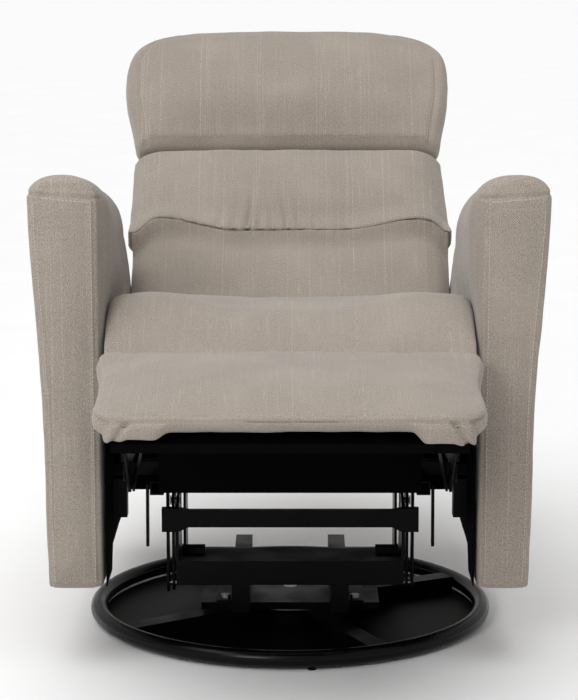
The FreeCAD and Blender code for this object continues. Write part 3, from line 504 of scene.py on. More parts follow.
def swell(piece, cap, held, shape=None):
    """Fills a shape with air under cloth, then limits how far each point may move.

    cap gives each point's furthest move from the rest points and normals; held picks the rest points
    that are sewn down; shape moves the rest points before the air goes in.
    """
    modify(piece, "REMESH", mode="VOXEL", voxel_size=VOXEL, use_smooth_shade=True)
    if shape is not None:
        write(piece, shape(read(piece)))
    rest = read(piece)
    facing = normals(piece)
    limit = cap(rest, facing)
    cloth = piece.modifiers.new("cloth", "CLOTH")
    adjust(cloth.settings, **CLOTH_SETTINGS)
    cloth.settings.effector_weights.gravity = 0
    cloth.collision_settings.use_collision = False
    group = piece.vertex_groups.new(name="held")
    group.add(np.flatnonzero(held(rest)).tolist(), 1.0, "REPLACE")
    cloth.settings.vertex_group_mass = group.name
    adjust(cloth.point_cache, frame_start=1, frame_end=SIM_FRAMES)
    for number in range(1, SIM_FRAMES + 1):
        scene.frame_set(number)
    apply_modifiers(piece)
    rise = np.maximum(np.sum((read(piece) - rest) * facing, axis=1), 0)
    rise = rise / max(float(np.percentile(rise, 97)), 1e-6)
    rise = even_out(piece, np.minimum(rise, 1) * limit, 24)
    write(piece, rest + facing * rise[:, None])
    piece.vertex_groups.clear()
    subdivide(piece)
    scene.frame_set(1)


def held_below(level):
    return lambda rest: rest[:, 2] < level


def pad_cap(side_cap, face_cap):
    """How far a pad may swell at its sides and on its face; its base hardly moves."""
    def cap(rest, facing):
        side = np.abs(facing[:, 0]) > 0.6
        base = facing[:, 2] < -0.5
        return np.where(base, 0.001, np.where(side, side_cap, face_cap))
    return cap


def dress(piece, body, look, nodes=()):
    """Finish, body, slot and replaced CAD nodes of a made piece."""
    piece.data.materials.clear()
    piece.data.materials.append(look)
    smooth_shade(piece)
    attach(piece, body)
    if nodes:
        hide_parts(*nodes)
    return piece


# ---- stitching

STITCH = 0.0036
STITCH_GAP = 0.0020
STITCH_LIFTS = (-0.0002, 0.00045, 0.00045, -0.0002)
STITCH_THICKNESS = (0.55, 1.0, 1.0, 0.55)
STITCH_SEARCH = 0.08
THREAD = 0.00045
THREAD_SIDES = 6


def surface_of(piece):
    """The piece's surface in world coordinates, to drop stitches onto."""
    place = np.array(piece.matrix_world)
    points = read(piece) @ place[:3, :3].T + place[:3, 3]
    faces = [tuple(p.vertices) for p in piece.data.polygons]
    return BVHTree.FromPolygons([Vector(p) for p in points], faces)


def walk(path, step):
    """Points every step metres along a polyline."""
    path = np.array(path, float)
    lengths = np.r_[0, np.cumsum(np.linalg.norm(np.diff(path, axis=0), axis=1))]
    places = np.arange(0, lengths[-1], step)
    return np.stack([np.interp(places, lengths, path[:, k]) for k in range(3)], axis=1)


def stitch_rows(name, cover, rows, towards, body):
    """Rows of sewn stitches as one piece: each world path is dropped onto the cover along towards."""
    tree = surface_of(cover)
    points, faces = [], []
    for row in rows:
        spots = []
        for p in walk(row, (STITCH + STITCH_GAP) / 4):
            above = Vector(p) - Vector(towards) * STITCH_SEARCH
            hit = tree.ray_cast(above, Vector(towards), 2 * STITCH_SEARCH)
            spots.append((hit[0], hit[1]) if hit[0] else None)
        for start in range(0, len(spots) - 4, 4):
            run = spots[start:start + 4]
            if any(s is None for s in run):
                continue
            add_stitch(points, faces, run)
    piece = new_piece(name, points, faces)
    return dress(piece, body, THREAD_FINISH)


def add_stitch(points, faces, run):
    """One stitch: a short thread that arches a little off the cloth and dives in at both ends."""
    spine = [p + n * lift for (p, n), lift in zip(run, STITCH_LIFTS)]
    heading = (spine[-1] - spine[0]).normalized()
    base = len(points)
    for centre, (_, normal), share in zip(spine, run, STITCH_THICKNESS):
        side = heading.cross(normal).normalized()
        up = side.cross(heading)
        for k in range(THREAD_SIDES):
            turn = 2 * math.pi * k / THREAD_SIDES
            points.append(centre + (side * math.cos(turn) + up * math.sin(turn)) * THREAD * share)
    for ring in range(len(spine) - 1):
        for k in range(THREAD_SIDES):
            row = base + ring * THREAD_SIDES
            a, b = row + k, row + (k + 1) % THREAD_SIDES
            faces.append((a, b, b + THREAD_SIDES, a + THREAD_SIDES))
    faces.append(tuple(base + k for k in reversed(range(THREAD_SIDES))))
    end = base + (len(spine) - 1) * THREAD_SIDES
    faces.append(tuple(end + k for k in range(THREAD_SIDES)))


CLOTH_PAD = upholstery("upholstery_pad", contrast=1.0)
CLOTH_ARM = upholstery("upholstery_arm", contrast=1.7, side_runs_up=True)
THREAD_FINISH = thread_finish()
CAMBRIC = black_cloth()


# ---- arms

ARM_DOME = 0.036
ARM_DOME_POWER = 2.3
ARM_EDGE = 0.013
ARM_FOOT_ROUND = 0.007
ARM_PUFF = 0.004
ARM_CROWN = 0.004
ARM_END_CROWN = 0.005
ARM_SLIMMER = 0.0045
ARM_ROLL = 0.012
ARM_ROLL_DEPTH = 0.035
# Height and distance from the centre plane of an arm's outer side, which flares towards the top.
ARM_SIDE = ((0.112, 0.3405), (0.146, 0.3415), (0.225, 0.3440), (0.303, 0.3440), (0.383, 0.3460),
            (0.524, 0.3550), (0.620, 0.3615), (0.700, 0.3635))


class ArmShape:
    """The arm's outline read from its CAD solid: heights along Y, and widths at foot and top."""

    def __init__(self, slimmer):
        self.slimmer = slimmer
        points = cad_points("arm_right")
        stations = sorted(set(np.round(points[:, 1], 4)))
        rows = [points[np.abs(points[:, 1] - y) < 2e-4] for y in stations]
        full = [(y, row) for y, row in zip(stations, rows)
                if len(row) > 40 and np.ptp(row[:, 2]) > 0.28]
        self.y = np.array([y for y, row in full])
        self.top = np.array([row[:, 2].max() for y, row in full])
        self.low = np.array([row[:, 2].min() for y, row in full])
        self.front, self.back = self.y[0], self.y[-1]
        self.inner = points[:, 0].min()
        self.top_outer = points[:, 0].max()

    def heights(self, y):
        slopes = np.gradient(self.top, self.y)
        k = min(max(int(np.searchsorted(self.y, y)) - 1, 0), len(self.y) - 2)
        span = self.y[k + 1] - self.y[k]
        t = (y - self.y[k]) / span
        top = ((2 * t ** 3 - 3 * t ** 2 + 1) * self.top[k]
               + (t ** 3 - 2 * t ** 2 + t) * span * slopes[k]
               + (3 * t ** 2 - 2 * t ** 3) * self.top[k + 1]
               + (t ** 3 - t ** 2) * span * slopes[k + 1])
        return float(np.interp(y, self.y, self.low)), float(top) + ARM_CROWN

    def outer(self, z):
        heights, sides = zip(*ARM_SIDE)
        return np.interp(z, heights, sides) - self.slimmer * (1 - 0.5 * ease(z, 0.45, 0.62))

    def inner_roll(self, z, top, y):
        """How far the stuffed inner side stands in beyond the frame: most just below the top."""
        height = ease(z, top - 0.20, top - 0.12)
        length = ease(y, self.front, self.front + 0.06) * (1 - ease(y, 0.0, 0.15))
        return ARM_ROLL * height * length

    def ring(self, y, shrink, place_y):
        """A closed section, up the outer side and down the inner one, shrunk by a share."""
        low, top = self.heights(y)
        half_top = (self.top_outer - self.inner) / 2
        low, top = low + shrink * half_top, top - shrink * half_top
        dome = ARM_DOME * (1 - 0.5 * shrink)
        body = np.linspace(low + ARM_FOOT_ROUND, top - dome, 44)
        foot = [low + ARM_FOOT_ROUND * (1 - math.cos(a)) for a in np.linspace(0.0, math.pi / 2, 5)[:-1]]
        cap = [top - dome + dome * math.sin(a) for a in np.linspace(0, math.pi / 2, 14)[1:]]
        z = np.array(foot + list(body) + cap)
        rise = unit(z - (top - dome), dome)
        profile = np.maximum(1 - rise ** ARM_DOME_POWER, 0) ** (1 / ARM_DOME_POWER)
        deep = dome + ARM_ROLL_DEPTH * ease(y, self.front, self.front + 0.10)
        fall = unit(z - (top - deep), deep)
        inner_profile = np.maximum(1 - fall ** ARM_DOME_POWER, 0) ** (1 / ARM_DOME_POWER)
        drop = unit(low + ARM_FOOT_ROUND - z, ARM_FOOT_ROUND)
        outer = self.outer(z)
        centre, half = (outer + self.inner) / 2, (outer - self.inner) / 2 * (1 - shrink)
        half = half - ARM_FOOT_ROUND * (1 - np.sqrt(1 - drop ** 2)) * (1 - shrink)
        height = unit(z - low, top - low)
        length = unit(y - self.front, self.back - self.front)
        puff = ARM_PUFF * np.sin(math.pi * height) ** 0.6 * min(1, 12 * length * (1 - length) + 0.15)
        puff = puff * (1 - ease(y, 0.10, 0.20))
        inward = (puff + self.inner_roll(z, top, y)) * (1 - shrink)
        right = np.stack([centre + half * profile, np.full(len(z), place_y), z], axis=1)
        left = np.stack([centre - (half + inward) * inner_profile, np.full(len(z), place_y), z], axis=1)
        return np.vstack([right, left[-2:0:-1]])


def arm_rings(shape):
    rings = []
    half = (shape.top_outer - shape.inner) / 2
    flats = [0.94, 0.8, 0.66, 0.52, 0.42, 0.35]
    for end, sign in ((shape.front, 1), (shape.back, -1)):
        cap = []
        for shrink in flats:
            bulge = ARM_END_CROWN * (1 - ((1 - shrink) / (1 - flats[-1])) ** 2)
            cap.append(shape.ring(end, shrink, end - sign * bulge))
        for turn in np.linspace(math.pi / 2, 0, 7):
            inset = ARM_EDGE * (1 - math.cos(turn)) / half
            cap.append(shape.ring(end, inset, end + sign * ARM_EDGE * (1 - math.sin(turn))))
        rings.append(cap)
    spans = np.linspace(shape.front + ARM_EDGE, shape.back - ARM_EDGE, 76)[1:-1]
    middle = [shape.ring(y, 0, y) for y in spans]
    return rings[0] + middle + rings[1][::-1]


def arm_mesh(name, mirror):
    shape = ArmShape(0 if mirror else ARM_SLIMMER)
    rings = arm_rings(shape)
    count = len(rings[0])
    points = np.vstack(rings)
    faces = []
    for row in range(len(rings) - 1):
        for k in range(count):
            a, b = row * count + k, row * count + (k + 1) % count
            faces.append((a, b, b + count, a + count))
    for base in (0, (len(rings) - 1) * count):
        half = count // 2
        for k in range(half):
            corners = (k, k + 1, (count - k - 1) % count, (count - k) % count)
            faces.append(tuple(dict.fromkeys(base + corner for corner in corners)))
    if mirror:
        points = points * np.array([-1, 1, 1])
    piece = new_piece(name, points, faces)
    tidy_faces(piece)
    subdivide(piece)
    return piece, shape


ARM_SEAM_INSET = 0.0055
ARM_SEAM_TOP = 0.028
ARM_SEAM_RISE = 0.006
ARM_SEAM_DEPTH = 0.0016
ARM_SEAM_WIDTH = 0.0022
ARM_TOP_SEAM_DEPTH = 0.0022
ARM_TOP_SEAM_WIDTH = 0.0024
ARM_STITCH_INSET = ARM_SEAM_INSET + 0.0045


def finish_arm(side, name, node):
    sign = 1 if side == "right" else -1
    piece, shape = arm_mesh(name, mirror=sign < 0)
    points = read(piece)
    x, y, z = sign * points[:, 0], points[:, 1], points[:, 2]
    front_top = shape.top[0]
    outer_edge = shape.outer(z)
    ahead = bell(np.maximum(y - shape.front - 0.012, 0), 0.006)
    seam_z = front_top - ARM_SEAM_TOP + ARM_SEAM_RISE * (x - shape.inner) / (shape.top_outer - shape.inner)
    below = unit(seam_z - z, 0.01)
    for seam in (x - (shape.inner + ARM_SEAM_INSET), outer_edge - ARM_SEAM_INSET - x):
        press(piece, seam, ARM_SEAM_DEPTH, ARM_SEAM_WIDTH, ahead * below)
    press(piece, z - seam_z, ARM_TOP_SEAM_DEPTH, ARM_TOP_SEAM_WIDTH, ahead)
    press(piece, y - (shape.front + 0.018), 0.0012, 0.002, np.clip((z - seam_z) / 0.01 + 1, 0, 1))
    ripple(piece)
    if sign < 0:
        cup_low, cup_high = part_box("release_cup")
        mouth = new_piece("cup_mouth", *box_mesh(cup_low - Vector((0.05, 0, 0)), cup_high))
        modify(piece, "BOOLEAN", operation="DIFFERENCE", solver="EXACT", object=mouth)
        bpy.data.objects.remove(mouth)
    dress(piece, "carrier", CLOTH_ARM, [node])
    low_z, high_z = shape.low[0] + 0.012, front_top - ARM_SEAM_TOP - 0.004
    line = np.linspace(low_z, high_z, 24)
    inner_row = [(sign * (shape.inner + ARM_STITCH_INSET), shape.front, h) for h in line]
    outer_row = [(sign * (shape.outer(h) - ARM_STITCH_INSET), shape.front, h) for h in line]
    top_row = [(sign * (shape.inner + 0.012 + 0.07 * t), shape.front,
                front_top - ARM_SEAM_TOP - 0.005 + ARM_SEAM_RISE * t) for t in np.linspace(0, 1, 12)]
    stitch_rows(name + "_front_stitches", piece, [inner_row, outer_row, top_row], (0, 1, 0), "carrier")
    return shape


def box_mesh(low, high):
    points = list(itertools.product(*zip(low, high)))
    faces = [(0, 1, 3, 2), (4, 6, 7, 5), (0, 4, 5, 1), (2, 3, 7, 6), (0, 2, 6, 4), (1, 5, 7, 3)]
    return points, faces


LINER_TOP = 0.405
LINER_THICK = 0.0012
LINER_FOOT = 0.004
LINER_TOP_GAP = 0.05
LINER_WAVE = 0.0006


def arm_liner(side, shape):
    """Black cloth stapled over the lower inner face of an arm, from the toe to the arch behind it."""
    sign = 1 if side == "right" else -1
    ys = np.linspace(shape.front + 0.006, shape.back - 0.012, 60)
    rows = []
    for share in np.linspace(0, 1, 14):
        row = []
        for y in ys:
            low, top = shape.heights(y)
            low += LINER_FOOT
            high = min(LINER_TOP, top - LINER_TOP_GAP)
            z = low + (high - low) * share
            wave = LINER_WAVE * noise.noise(Vector((y * 30, z * 30, sign * 5)))
            row.append((sign * (shape.inner - ARM_PUFF - LINER_THICK - wave), y, z))
        rows.append(row)
    count = len(ys)
    points = [p for row in rows for p in row]
    faces = [(r * count + k, r * count + k + 1, (r + 1) * count + k + 1, (r + 1) * count + k)
             for r in range(len(rows) - 1) for k in range(count - 1)]
    piece = new_piece("arm_liner_" + side, points, faces)
    modify(piece, "SOLIDIFY", thickness=LINER_THICK, offset=0)
    tidy_faces(piece)
    dress(piece, "carrier", CAMBRIC)
    heights = [min(LINER_TOP, top - LINER_TOP_GAP) - low - LINER_FOOT
               for low, top in (shape.heights(y) for y in ys)]


# ---- seat

def rounded_rectangle(half, low, high, corner_low, corner_high, count=8):
    """A plan outline across X from low to high in Y, with its own corner size at each end."""
    outline = []
    for cx, cy, radius, start in ((half, high, corner_high, 0), (-half, high, corner_high, 90),
                                  (-half, low, corner_low, 180), (half, low, corner_low, 270)):
        for k in range(count + 1):
            turn = math.radians(start + 90 * k / count)
            inward_x = cx - math.copysign(radius, cx)
            inward_y = cy - math.copysign(radius, cy - (low + high) / 2)
            outline.append((inward_x + radius * math.cos(turn), inward_y + radius * math.sin(turn)))
    return outline


SEAT_ROLL = 0.108
SEAT_ROLL_DROP = 0.80
SEAT_ROLL_POWER = 1.4
SEAT_HALF = 0.2605
SEAT_NOSE_HALF = 0.2645
SEAT_SEAM_HEIGHT = 0.070
SEAT_SEAM_DEPTH = 0.004
SEAT_SEAM_WIDTH = 0.005
SEAT_HOLLOW = 0.006
SEAT_SHOULDER = 0.021
SEAT_REAR_DROP = 0.020


def make_seat_cushion():
    low, high = extent("seat_cushion", SEAT_PAD)
    outline = rounded_rectangle(high[0] + 0.008, low[1] + 0.004, high[1] - 0.004, 0.012, 0.02)
    piece = slab("seat_pad", outline, low[2], high[2] - 0.010, 0.018, SEAT_PAD)

    def shape(points):
        roll = unit(low[1] + SEAT_ROLL - points[:, 1], SEAT_ROLL)
        points[:, 2] = low[2] + (points[:, 2] - low[2]) * (1 - SEAT_ROLL_DROP * roll ** SEAT_ROLL_POWER)
        return points

    swell(piece, pad_cap(0.010, 0.026), held_below(low[2] + 0.010), shape)
    points, x, y, z = spread(piece)
    upper = unit(z - low[2], high[2] - low[2])
    front = bell(y - low[1], 0.16)
    hollow = SEAT_HOLLOW * bell(x + 0.02, 0.15) * front * upper
    shoulder = SEAT_SHOULDER * ease(np.abs(x), 0.04, 0.23) * bell(y + 0.07, 0.14) * upper
    lower_rear = SEAT_REAR_DROP * unit(y - 0.05, 0.25) * upper
    points[:, 2] += shoulder - hollow - lower_rear
    write(piece, points)
    ripple(piece)
    x, y, z = read(piece).T
    flank = unit(np.abs(x) - high[0] + 0.02, 0.01) * ease(y, low[1] + 0.12, low[1] + 0.20)
    side_seam = low[2] + SEAT_SEAM_HEIGHT
    press(piece, z - side_seam, SEAT_SEAM_DEPTH, SEAT_SEAM_WIDTH, flank)
    points, x, y, z = spread(piece)
    limit = SEAT_NOSE_HALF + (SEAT_HALF - SEAT_NOSE_HALF) * ease(y, low[1], low[1] + 0.03)
    points[:, 0] = np.clip(x, -limit, limit)
    write(piece, points)
    dress(piece, "seat", CLOTH_PAD, ["seat_cushion"])


# ---- footrest

PAD_FLARE = 0.05
PAD_NOSE = 0.044
PAD_NOSE_ENDS = 0.030
PAD_SKIRT = 0.022
PAD_SEAM_DEPTH = 0.0032
PAD_SEAM_WIDTH = 0.0028
# Corner tucks of the nose: distance out, lean, depth, width and reach back from the front.
PAD_TUCKS = ((0.205, 0.55, 0.006, 0.005, 0.03), (0.232, 0.3, 0.005, 0.006, 0.06))


def make_footrest_pad():
    low, high = extent("footrest_pad", FOOT_PAD)
    base = low[2] + 0.010
    outline = rounded_rectangle(high[0] + 0.003, low[1] + 0.004, high[1] - 0.004, 0.046, 0.010)
    piece = slab("footrest_cushion", outline, base, high[2] - 0.002, 0.016, FOOT_PAD)
    seam = high[2] - 0.012

    def shape(points):
        points[:, 0] *= 1 + PAD_FLARE * ease(points[:, 1], -0.03, high[1] - 0.02)
        radius = PAD_NOSE - PAD_NOSE_ENDS * unit(np.abs(points[:, 0]) - 0.15, 0.03)
        ahead = unit(low[1] + radius - points[:, 1], radius)
        under = unit(base + radius - points[:, 2], radius)
        excess = np.maximum(np.hypot(ahead, under), 1)
        points[:, 1] += ahead * radius * (1 - 1 / excess)
        points[:, 2] += under * radius * (1 - 1 / excess)
        return points

    swell(piece, pad_cap(0.009, 0.018), held_below(base + 0.006), shape)
    points, x, y, z = spread(piece)
    ends = unit(np.abs(x) - 0.155, 0.012)
    skirt = unit(base + PAD_SKIRT - z, PAD_SKIRT) * bell(np.minimum(y - low[1], 0.0), 1)
    skirt *= unit(low[1] + 0.05 - y, 0.03)
    points[:, 2] -= skirt * ends * np.where(x > 0, 0.012, 0.006)
    points[:, 2] -= skirt * unit(np.abs(x) - 0.205, 0.03) * 0.012
    write(piece, points)
    x, y, z = read(piece).T
    rim = np.maximum(unit(low[1] + 0.02 - y, 0.012), unit(np.abs(x) - high[0] + 0.016, 0.01))
    press(piece, z - seam, PAD_SEAM_DEPTH, PAD_SEAM_WIDTH, rim)
    for sign in (-1, 1):
        x, y, z = read(piece).T
        for out, tilt, depth, width, reach in PAD_TUCKS:
            near = unit(low[1] + reach - y, 0.012) * (z < seam)
            press(piece, (sign * x - out) - tilt * (seam - z), depth, width, near)
    ripple(piece)
    dress(piece, "footrest", CLOTH_PAD, ["footrest_pad"])


# ---- back

def seam_height(x, middle):
    """The stitched line under the lumbar roll: level in the middle, raised at its ends."""
    left = 0.026 * ease(-x, 0.085, 0.215)
    right = 0.024 * ease(x, 0.09, 0.215)
    drop = 0.0145 * ease(-x, 0.222, 0.252) + 0.010 * ease(x, 0.235, 0.26)
    return middle + left + right - drop


def back_outline(half, low_edge, high_edge):
    xs = np.linspace(-half, half, 61)
    upper = [(x, float(high_edge(x))) for x in xs[::-1]]
    lower = [(x, float(low_edge(x))) for x in xs]
    return lower + upper


# How the rounded rim of a back cushion is squeezed up against a sewn seam: RIM holds distances
# from the seam, and the others what these become.
RIM = (0, 0.024, 0.09, 1)
SEWN_RIM = (0, 0.0025, 0.09, 1)
BUTTED_RIM = (0, 0.010, 0.09, 1)
NECK_RIM = (0, 0.021, 0.09, 1)
NECK_ROLL = 0.014
SIDE_FALL = 0.024
SIDE_FALL_REACH = 0.048
SEAM_LEVEL = 0.046
SEAM_DROP = 0.013
BACK_LEAN = 0.005


def side_fall(x, half):
    """How far the front of a back cushion curves away towards its sides."""
    share = unit(np.abs(x) - (half - SIDE_FALL_REACH), SIDE_FALL_REACH)
    return SIDE_FALL * share ** 2


def fall_away(points, half, rear):
    points[:, 2] -= side_fall(points[:, 0], half) * ease(points[:, 2], rear + 0.02, rear + 0.06)
    return points


def roll_to_seam(piece, gap, half, level, rise, reach):
    """Rolls the front of a cushion to a shallow sewn line; gap is each point's distance from it."""
    points = read(piece)
    share = 1 - unit(gap, reach)
    edge = level - side_fall(points[:, 0], half)
    roof = edge + rise * np.sqrt(1 - share ** 2)
    over = np.where(share > 0, np.maximum(points[:, 2] - roof, 0), 0)
    under = np.where(points[:, 2] > edge - 0.034, np.maximum(roof - points[:, 2], 0) * share ** 1.5, 0)
    points[:, 2] += even_out(piece, under - over, 1)
    write(piece, points)


def lean(y):
    """The back stands very slightly to one side at its top."""
    return BACK_LEAN * ease(y, 0.22, 0.46)


HEAD_POWER = 3.75
HEAD_ROUND = 0.122
NECK_HALF = 0.260
HEAD_SEAM_DEPTH = 0.0035
HEAD_SEAM_WIDTH = 0.004
# Distance from the middle to the pillow's sewn seam, from the neck to the top.
HEAD_SEAM = (0.240, 0.256, 0.256, 0.235, 0.17)


def head_outline(low, high, half):
    """The head pillow in plan: pinched at the neck, widest half way up, under one crowned arch."""
    centre = high - HEAD_ROUND
    outline = []
    for k in range(49):
        turn = math.pi * k / 48
        c, s = math.cos(turn), math.sin(turn)
        x = half * math.copysign(abs(c) ** (2 / HEAD_POWER), c)
        outline.append((x, centre + HEAD_ROUND * s ** (2 / HEAD_POWER)))
    for sign in (-1, 1):
        rows = np.linspace(centre - 0.012, low + 0.012, 10)
        rows = rows if sign < 0 else rows[::-1]
        for y in rows:
            bend = ease(centre - y, 0, centre - low)
            outline.append((sign * (half - (half - NECK_HALF) * bend), y))
        outline.append((sign * (NECK_HALF - 0.006), low))
        if sign < 0:
            outline += [(x, low) for x in (-NECK_HALF * 0.5, 0, NECK_HALF * 0.5, NECK_HALF - 0.006)]
    outline.pop()
    return outline


def back_cap(side_cap, face_cap, rear):
    def cap(rest, facing):
        side = np.abs(facing[:, 0]) > 0.6
        behind = rest[:, 2] < rear + 0.012
        return np.where(behind, 0.0015, np.where(side, side_cap, face_cap))
    return cap


INTO_BACK = BACK_PAD.to_3x3() @ Vector((0, 0, -1))


def back_row(xs, ys, level):
    """A world path from places across the back."""
    return [BACK_PAD @ Vector((x, y, level)) for x, y in zip(*np.broadcast_arrays(xs, ys))]


def make_head():
    low, high = extent("head_cushion", BACK_PAD)
    outline = head_outline(low[1], high[1] + 0.010, high[0] + 0.004)
    piece = slab("head_pillow", outline, low[2], high[2] - 0.012, 0.028, BACK_PAD)

    def shape(points):
        points[:, 1] = low[1] + np.interp(points[:, 1] - low[1], RIM, NECK_RIM)
        return points

    def seam_x(y):
        heights = (low[1], low[1] + 0.1, high[1] - 0.07, high[1] - 0.03, high[1])
        return np.interp(y, heights, HEAD_SEAM)

    swell(piece, back_cap(0.007, 0.024, low[2]), held_below(low[2] + 0.010), shape)
    x, y, z = read(piece).T
    front = unit(z - low[2] - 0.035, 0.02)
    press(piece, np.abs(x) - seam_x(y), HEAD_SEAM_DEPTH, HEAD_SEAM_WIDTH, front * (y > low[1] + 0.004))
    ripple(piece)
    points, x, y, z = spread(piece)
    points[:, 1] = np.maximum(y, low[1] - 0.0015)
    points[:, 2] -= NECK_ROLL * bell(y - low[1], 0.045) * ease(z, low[2], high[2])
    points[:, 0] -= lean(y)
    write(piece, points)
    dress(piece, "back", CLOTH_PAD, ["head_cushion"])
    ys = np.linspace(low[1] + 0.012, high[1] - 0.05, 20)
    rows = [back_row(sign * (seam_x(ys) - 0.005) - lean(ys), ys, high[2]) for sign in (-1, 1)]
    stitch_rows("head_pillow_stitches", piece, rows, INTO_BACK, "back")


LUMBAR_SPREAD = (1.016, 0.985)
LUMBAR_TILT = 0.009
# Gathers in the lumbar roll above its seam: place across it, depth, width and height.
GATHERS = (
    (-0.150, 0.0018, 0.008, 0.035), (-0.118, 0.0024, 0.006, 0.04), (-0.094, 0.0026, 0.005, 0.05),
    (-0.070, 0.0060, 0.0042, 0.065), (-0.050, 0.0024, 0.006, 0.04), (-0.028, 0.0026, 0.005, 0.045),
    (-0.004, 0.0048, 0.0048, 0.06), (0.018, 0.0026, 0.006, 0.045), (0.046, 0.0016, 0.008, 0.035),
    (-0.185, 0.0014, 0.010, 0.035), (0.10, 0.0010, 0.010, 0.03),
)


def make_lumbar():
    low, high = extent("lumbar_cushion", BACK_PAD)
    half = high[0]
    middle = low[1] - SEAM_DROP
    outline = back_outline(half + 0.009, lambda x: seam_height(x, middle) + 0.002,
                           lambda x: high[1] - 0.002)
    piece = slab("lumbar_roll", outline, low[2], high[2] - 0.012, 0.024, BACK_PAD)

    def shape(points):
        seam = seam_height(points[:, 0], middle)
        points[:, 1] = seam + np.interp(points[:, 1] - seam, RIM, SEWN_RIM)
        points[:, 1] = high[1] - np.interp(high[1] - points[:, 1], RIM, BUTTED_RIM)
        points[:, 0] *= np.interp(points[:, 1], (low[1], high[1]), LUMBAR_SPREAD)
        return fall_away(points, half, low[2])

    swell(piece, back_cap(0.005, 0.022, low[2]), held_below(low[2] + 0.010), shape)
    points, x, y, z = spread(piece)
    seam = seam_height(x, middle)
    points[:, 1] = np.minimum(np.maximum(y, seam), high[1] + 0.0015)
    below = unit(high[1] - y, high[1] - low[1])
    points[:, 2] += LUMBAR_TILT * below * (z > low[2] + 0.03)
    write(piece, points)
    roll_to_seam(piece, y - seam, half, SEAM_LEVEL - 0.001, 0.009, 0.040)
    x, y, z = read(piece).T
    facing = normals(piece)
    front = unit(z - low[2] - 0.03, 0.02)
    above = np.maximum(y - seam, 0)
    sink = np.zeros(len(x))
    for centre, depth, width, reach in GATHERS:
        pleat = centre - 0.12 * above * (1 if centre > -0.06 else -1)
        sink += depth * bell(x - pleat, width) * bell(above, reach)
        sink -= 0.45 * depth * bell(x - pleat - 2.1 * width, width * 1.2) * bell(above, reach * 0.8)
    points = read(piece) - facing * (sink * front)[:, None]
    write(piece, points)
    ripple(piece)
    points = read(piece)
    points[:, 0] -= lean(points[:, 1])
    write(piece, points)
    dress(piece, "back", CLOTH_PAD, ["lumbar_cushion"])
    rows = []
    for start, end in ((-0.252, -0.196), (0.10, 0.252)):
        xs = np.linspace(start, end, 20)
        rows.append(back_row(xs, seam_height(xs, middle) + 0.0045, high[2]))
    stitch_rows("lumbar_stitches", piece, rows, INTO_BACK, "back")


BACK_HALF = 0.2628
LOWER_TILT = 0.018


def make_lower_back():
    low, high = extent("lower_back_cushion", BACK_PAD)
    middle = high[1] + 0.001 - SEAM_DROP
    outline = back_outline(high[0] + 0.0085, lambda x: low[1],
                           lambda x: seam_height(x, middle) - 0.001)
    piece = slab("lower_back_pad", outline, low[2], high[2] - 0.008, 0.022, BACK_PAD)

    def shape(points):
        seam = seam_height(points[:, 0], middle)
        points[:, 1] = seam - np.interp(seam - points[:, 1], RIM, SEWN_RIM)
        return fall_away(points, high[0], low[2])

    swell(piece, back_cap(0.002, 0.020, low[2]), held_below(low[2] + 0.010), shape)
    points, x, y, z = spread(piece)
    points[:, 0] = np.clip(x, -BACK_HALF, BACK_HALF)
    points[:, 1] = np.minimum(np.maximum(y, low[1] - 0.001), seam_height(x, middle) - 0.001)
    below = unit(high[1] - y, high[1] - low[1])
    points[:, 2] += LOWER_TILT * below * (z > low[2] + 0.03)
    write(piece, points)
    roll_to_seam(piece, seam_height(x, middle) - y, high[0], SEAM_LEVEL + 0.001, 0.007, 0.035)
    ripple(piece)
    dress(piece, "back", CLOTH_PAD, ["lower_back_cushion"])


def make_outer_back():
    low, high = extent("back_shell", BACK_PAD)
    half = high[0]
    centre = high[1] - 0.10
    outline = []
    for k in range(41):
        turn = math.pi * k / 40
        c, s = math.cos(turn), math.sin(turn)
        outline.append(((half - 0.004) * math.copysign(abs(c) ** 0.6, c), centre + 0.096 * s ** 0.6))
    steps = [y for y in (centre - 0.02 * k for k in range(1, 22)) if y > low[1] + 0.02]
    outline += [(-(half - 0.004), y) for y in steps]
    corner = [(half - 0.03, low[1]), (half - 0.010, low[1] + 0.004)]
    outline += [(-x, y) for x, y in reversed(corner)] + [(0, low[1])] + corner
    outline += [(half - 0.004, y) for y in reversed(steps)]
    piece = slab("outer_back", outline, low[2] + 0.004, high[2], 0.016, BACK_PAD)

    def cap(rest, facing):
        side = np.abs(facing[:, 0]) > 0.5
        ahead = facing[:, 2] > 0.3
        return np.where(ahead, 0.0005, np.where(side, 0.002, 0.009))

    swell(piece, cap, lambda rest: rest[:, 2] > high[2] - 0.006)
    x, y, z = read(piece).T
    behind = unit(low[2] + 0.04 - z, 0.02)
    press(piece, np.abs(x) - (half - 0.026), 0.0035, 0.0035, behind)
    press(piece, y - (high[1] - 0.03), 0.0030, 0.0035, behind * (np.abs(x) < half - 0.03))
    ripple(piece)
    dress(piece, "back", CLOTH_PAD, ["back_shell"])
    ys = np.linspace(low[1] + 0.02, high[1] - 0.04, 20)
    rows = [back_row(sign * (half - 0.031), ys, low[2]) for sign in (-1, 1)]
    rows.append(back_row(np.linspace(-half + 0.035, half - 0.035, 24), high[1] - 0.036, low[2]))
    stitch_rows("outer_back_stitches", piece, rows, -INTO_BACK, "back")


# ---- make the soft goods

arm_shape = finish_arm("right", "arm_cover_right", "arm_right")
finish_arm("left", "arm_cover_left", "arm_left")
arm_liner("right", arm_shape)
arm_liner("left", arm_shape)
make_seat_cushion()
make_footrest_pad()
make_lower_back()
make_lumbar()
make_head()
make_outer_back()


# ---- finishes of the CAD nodes

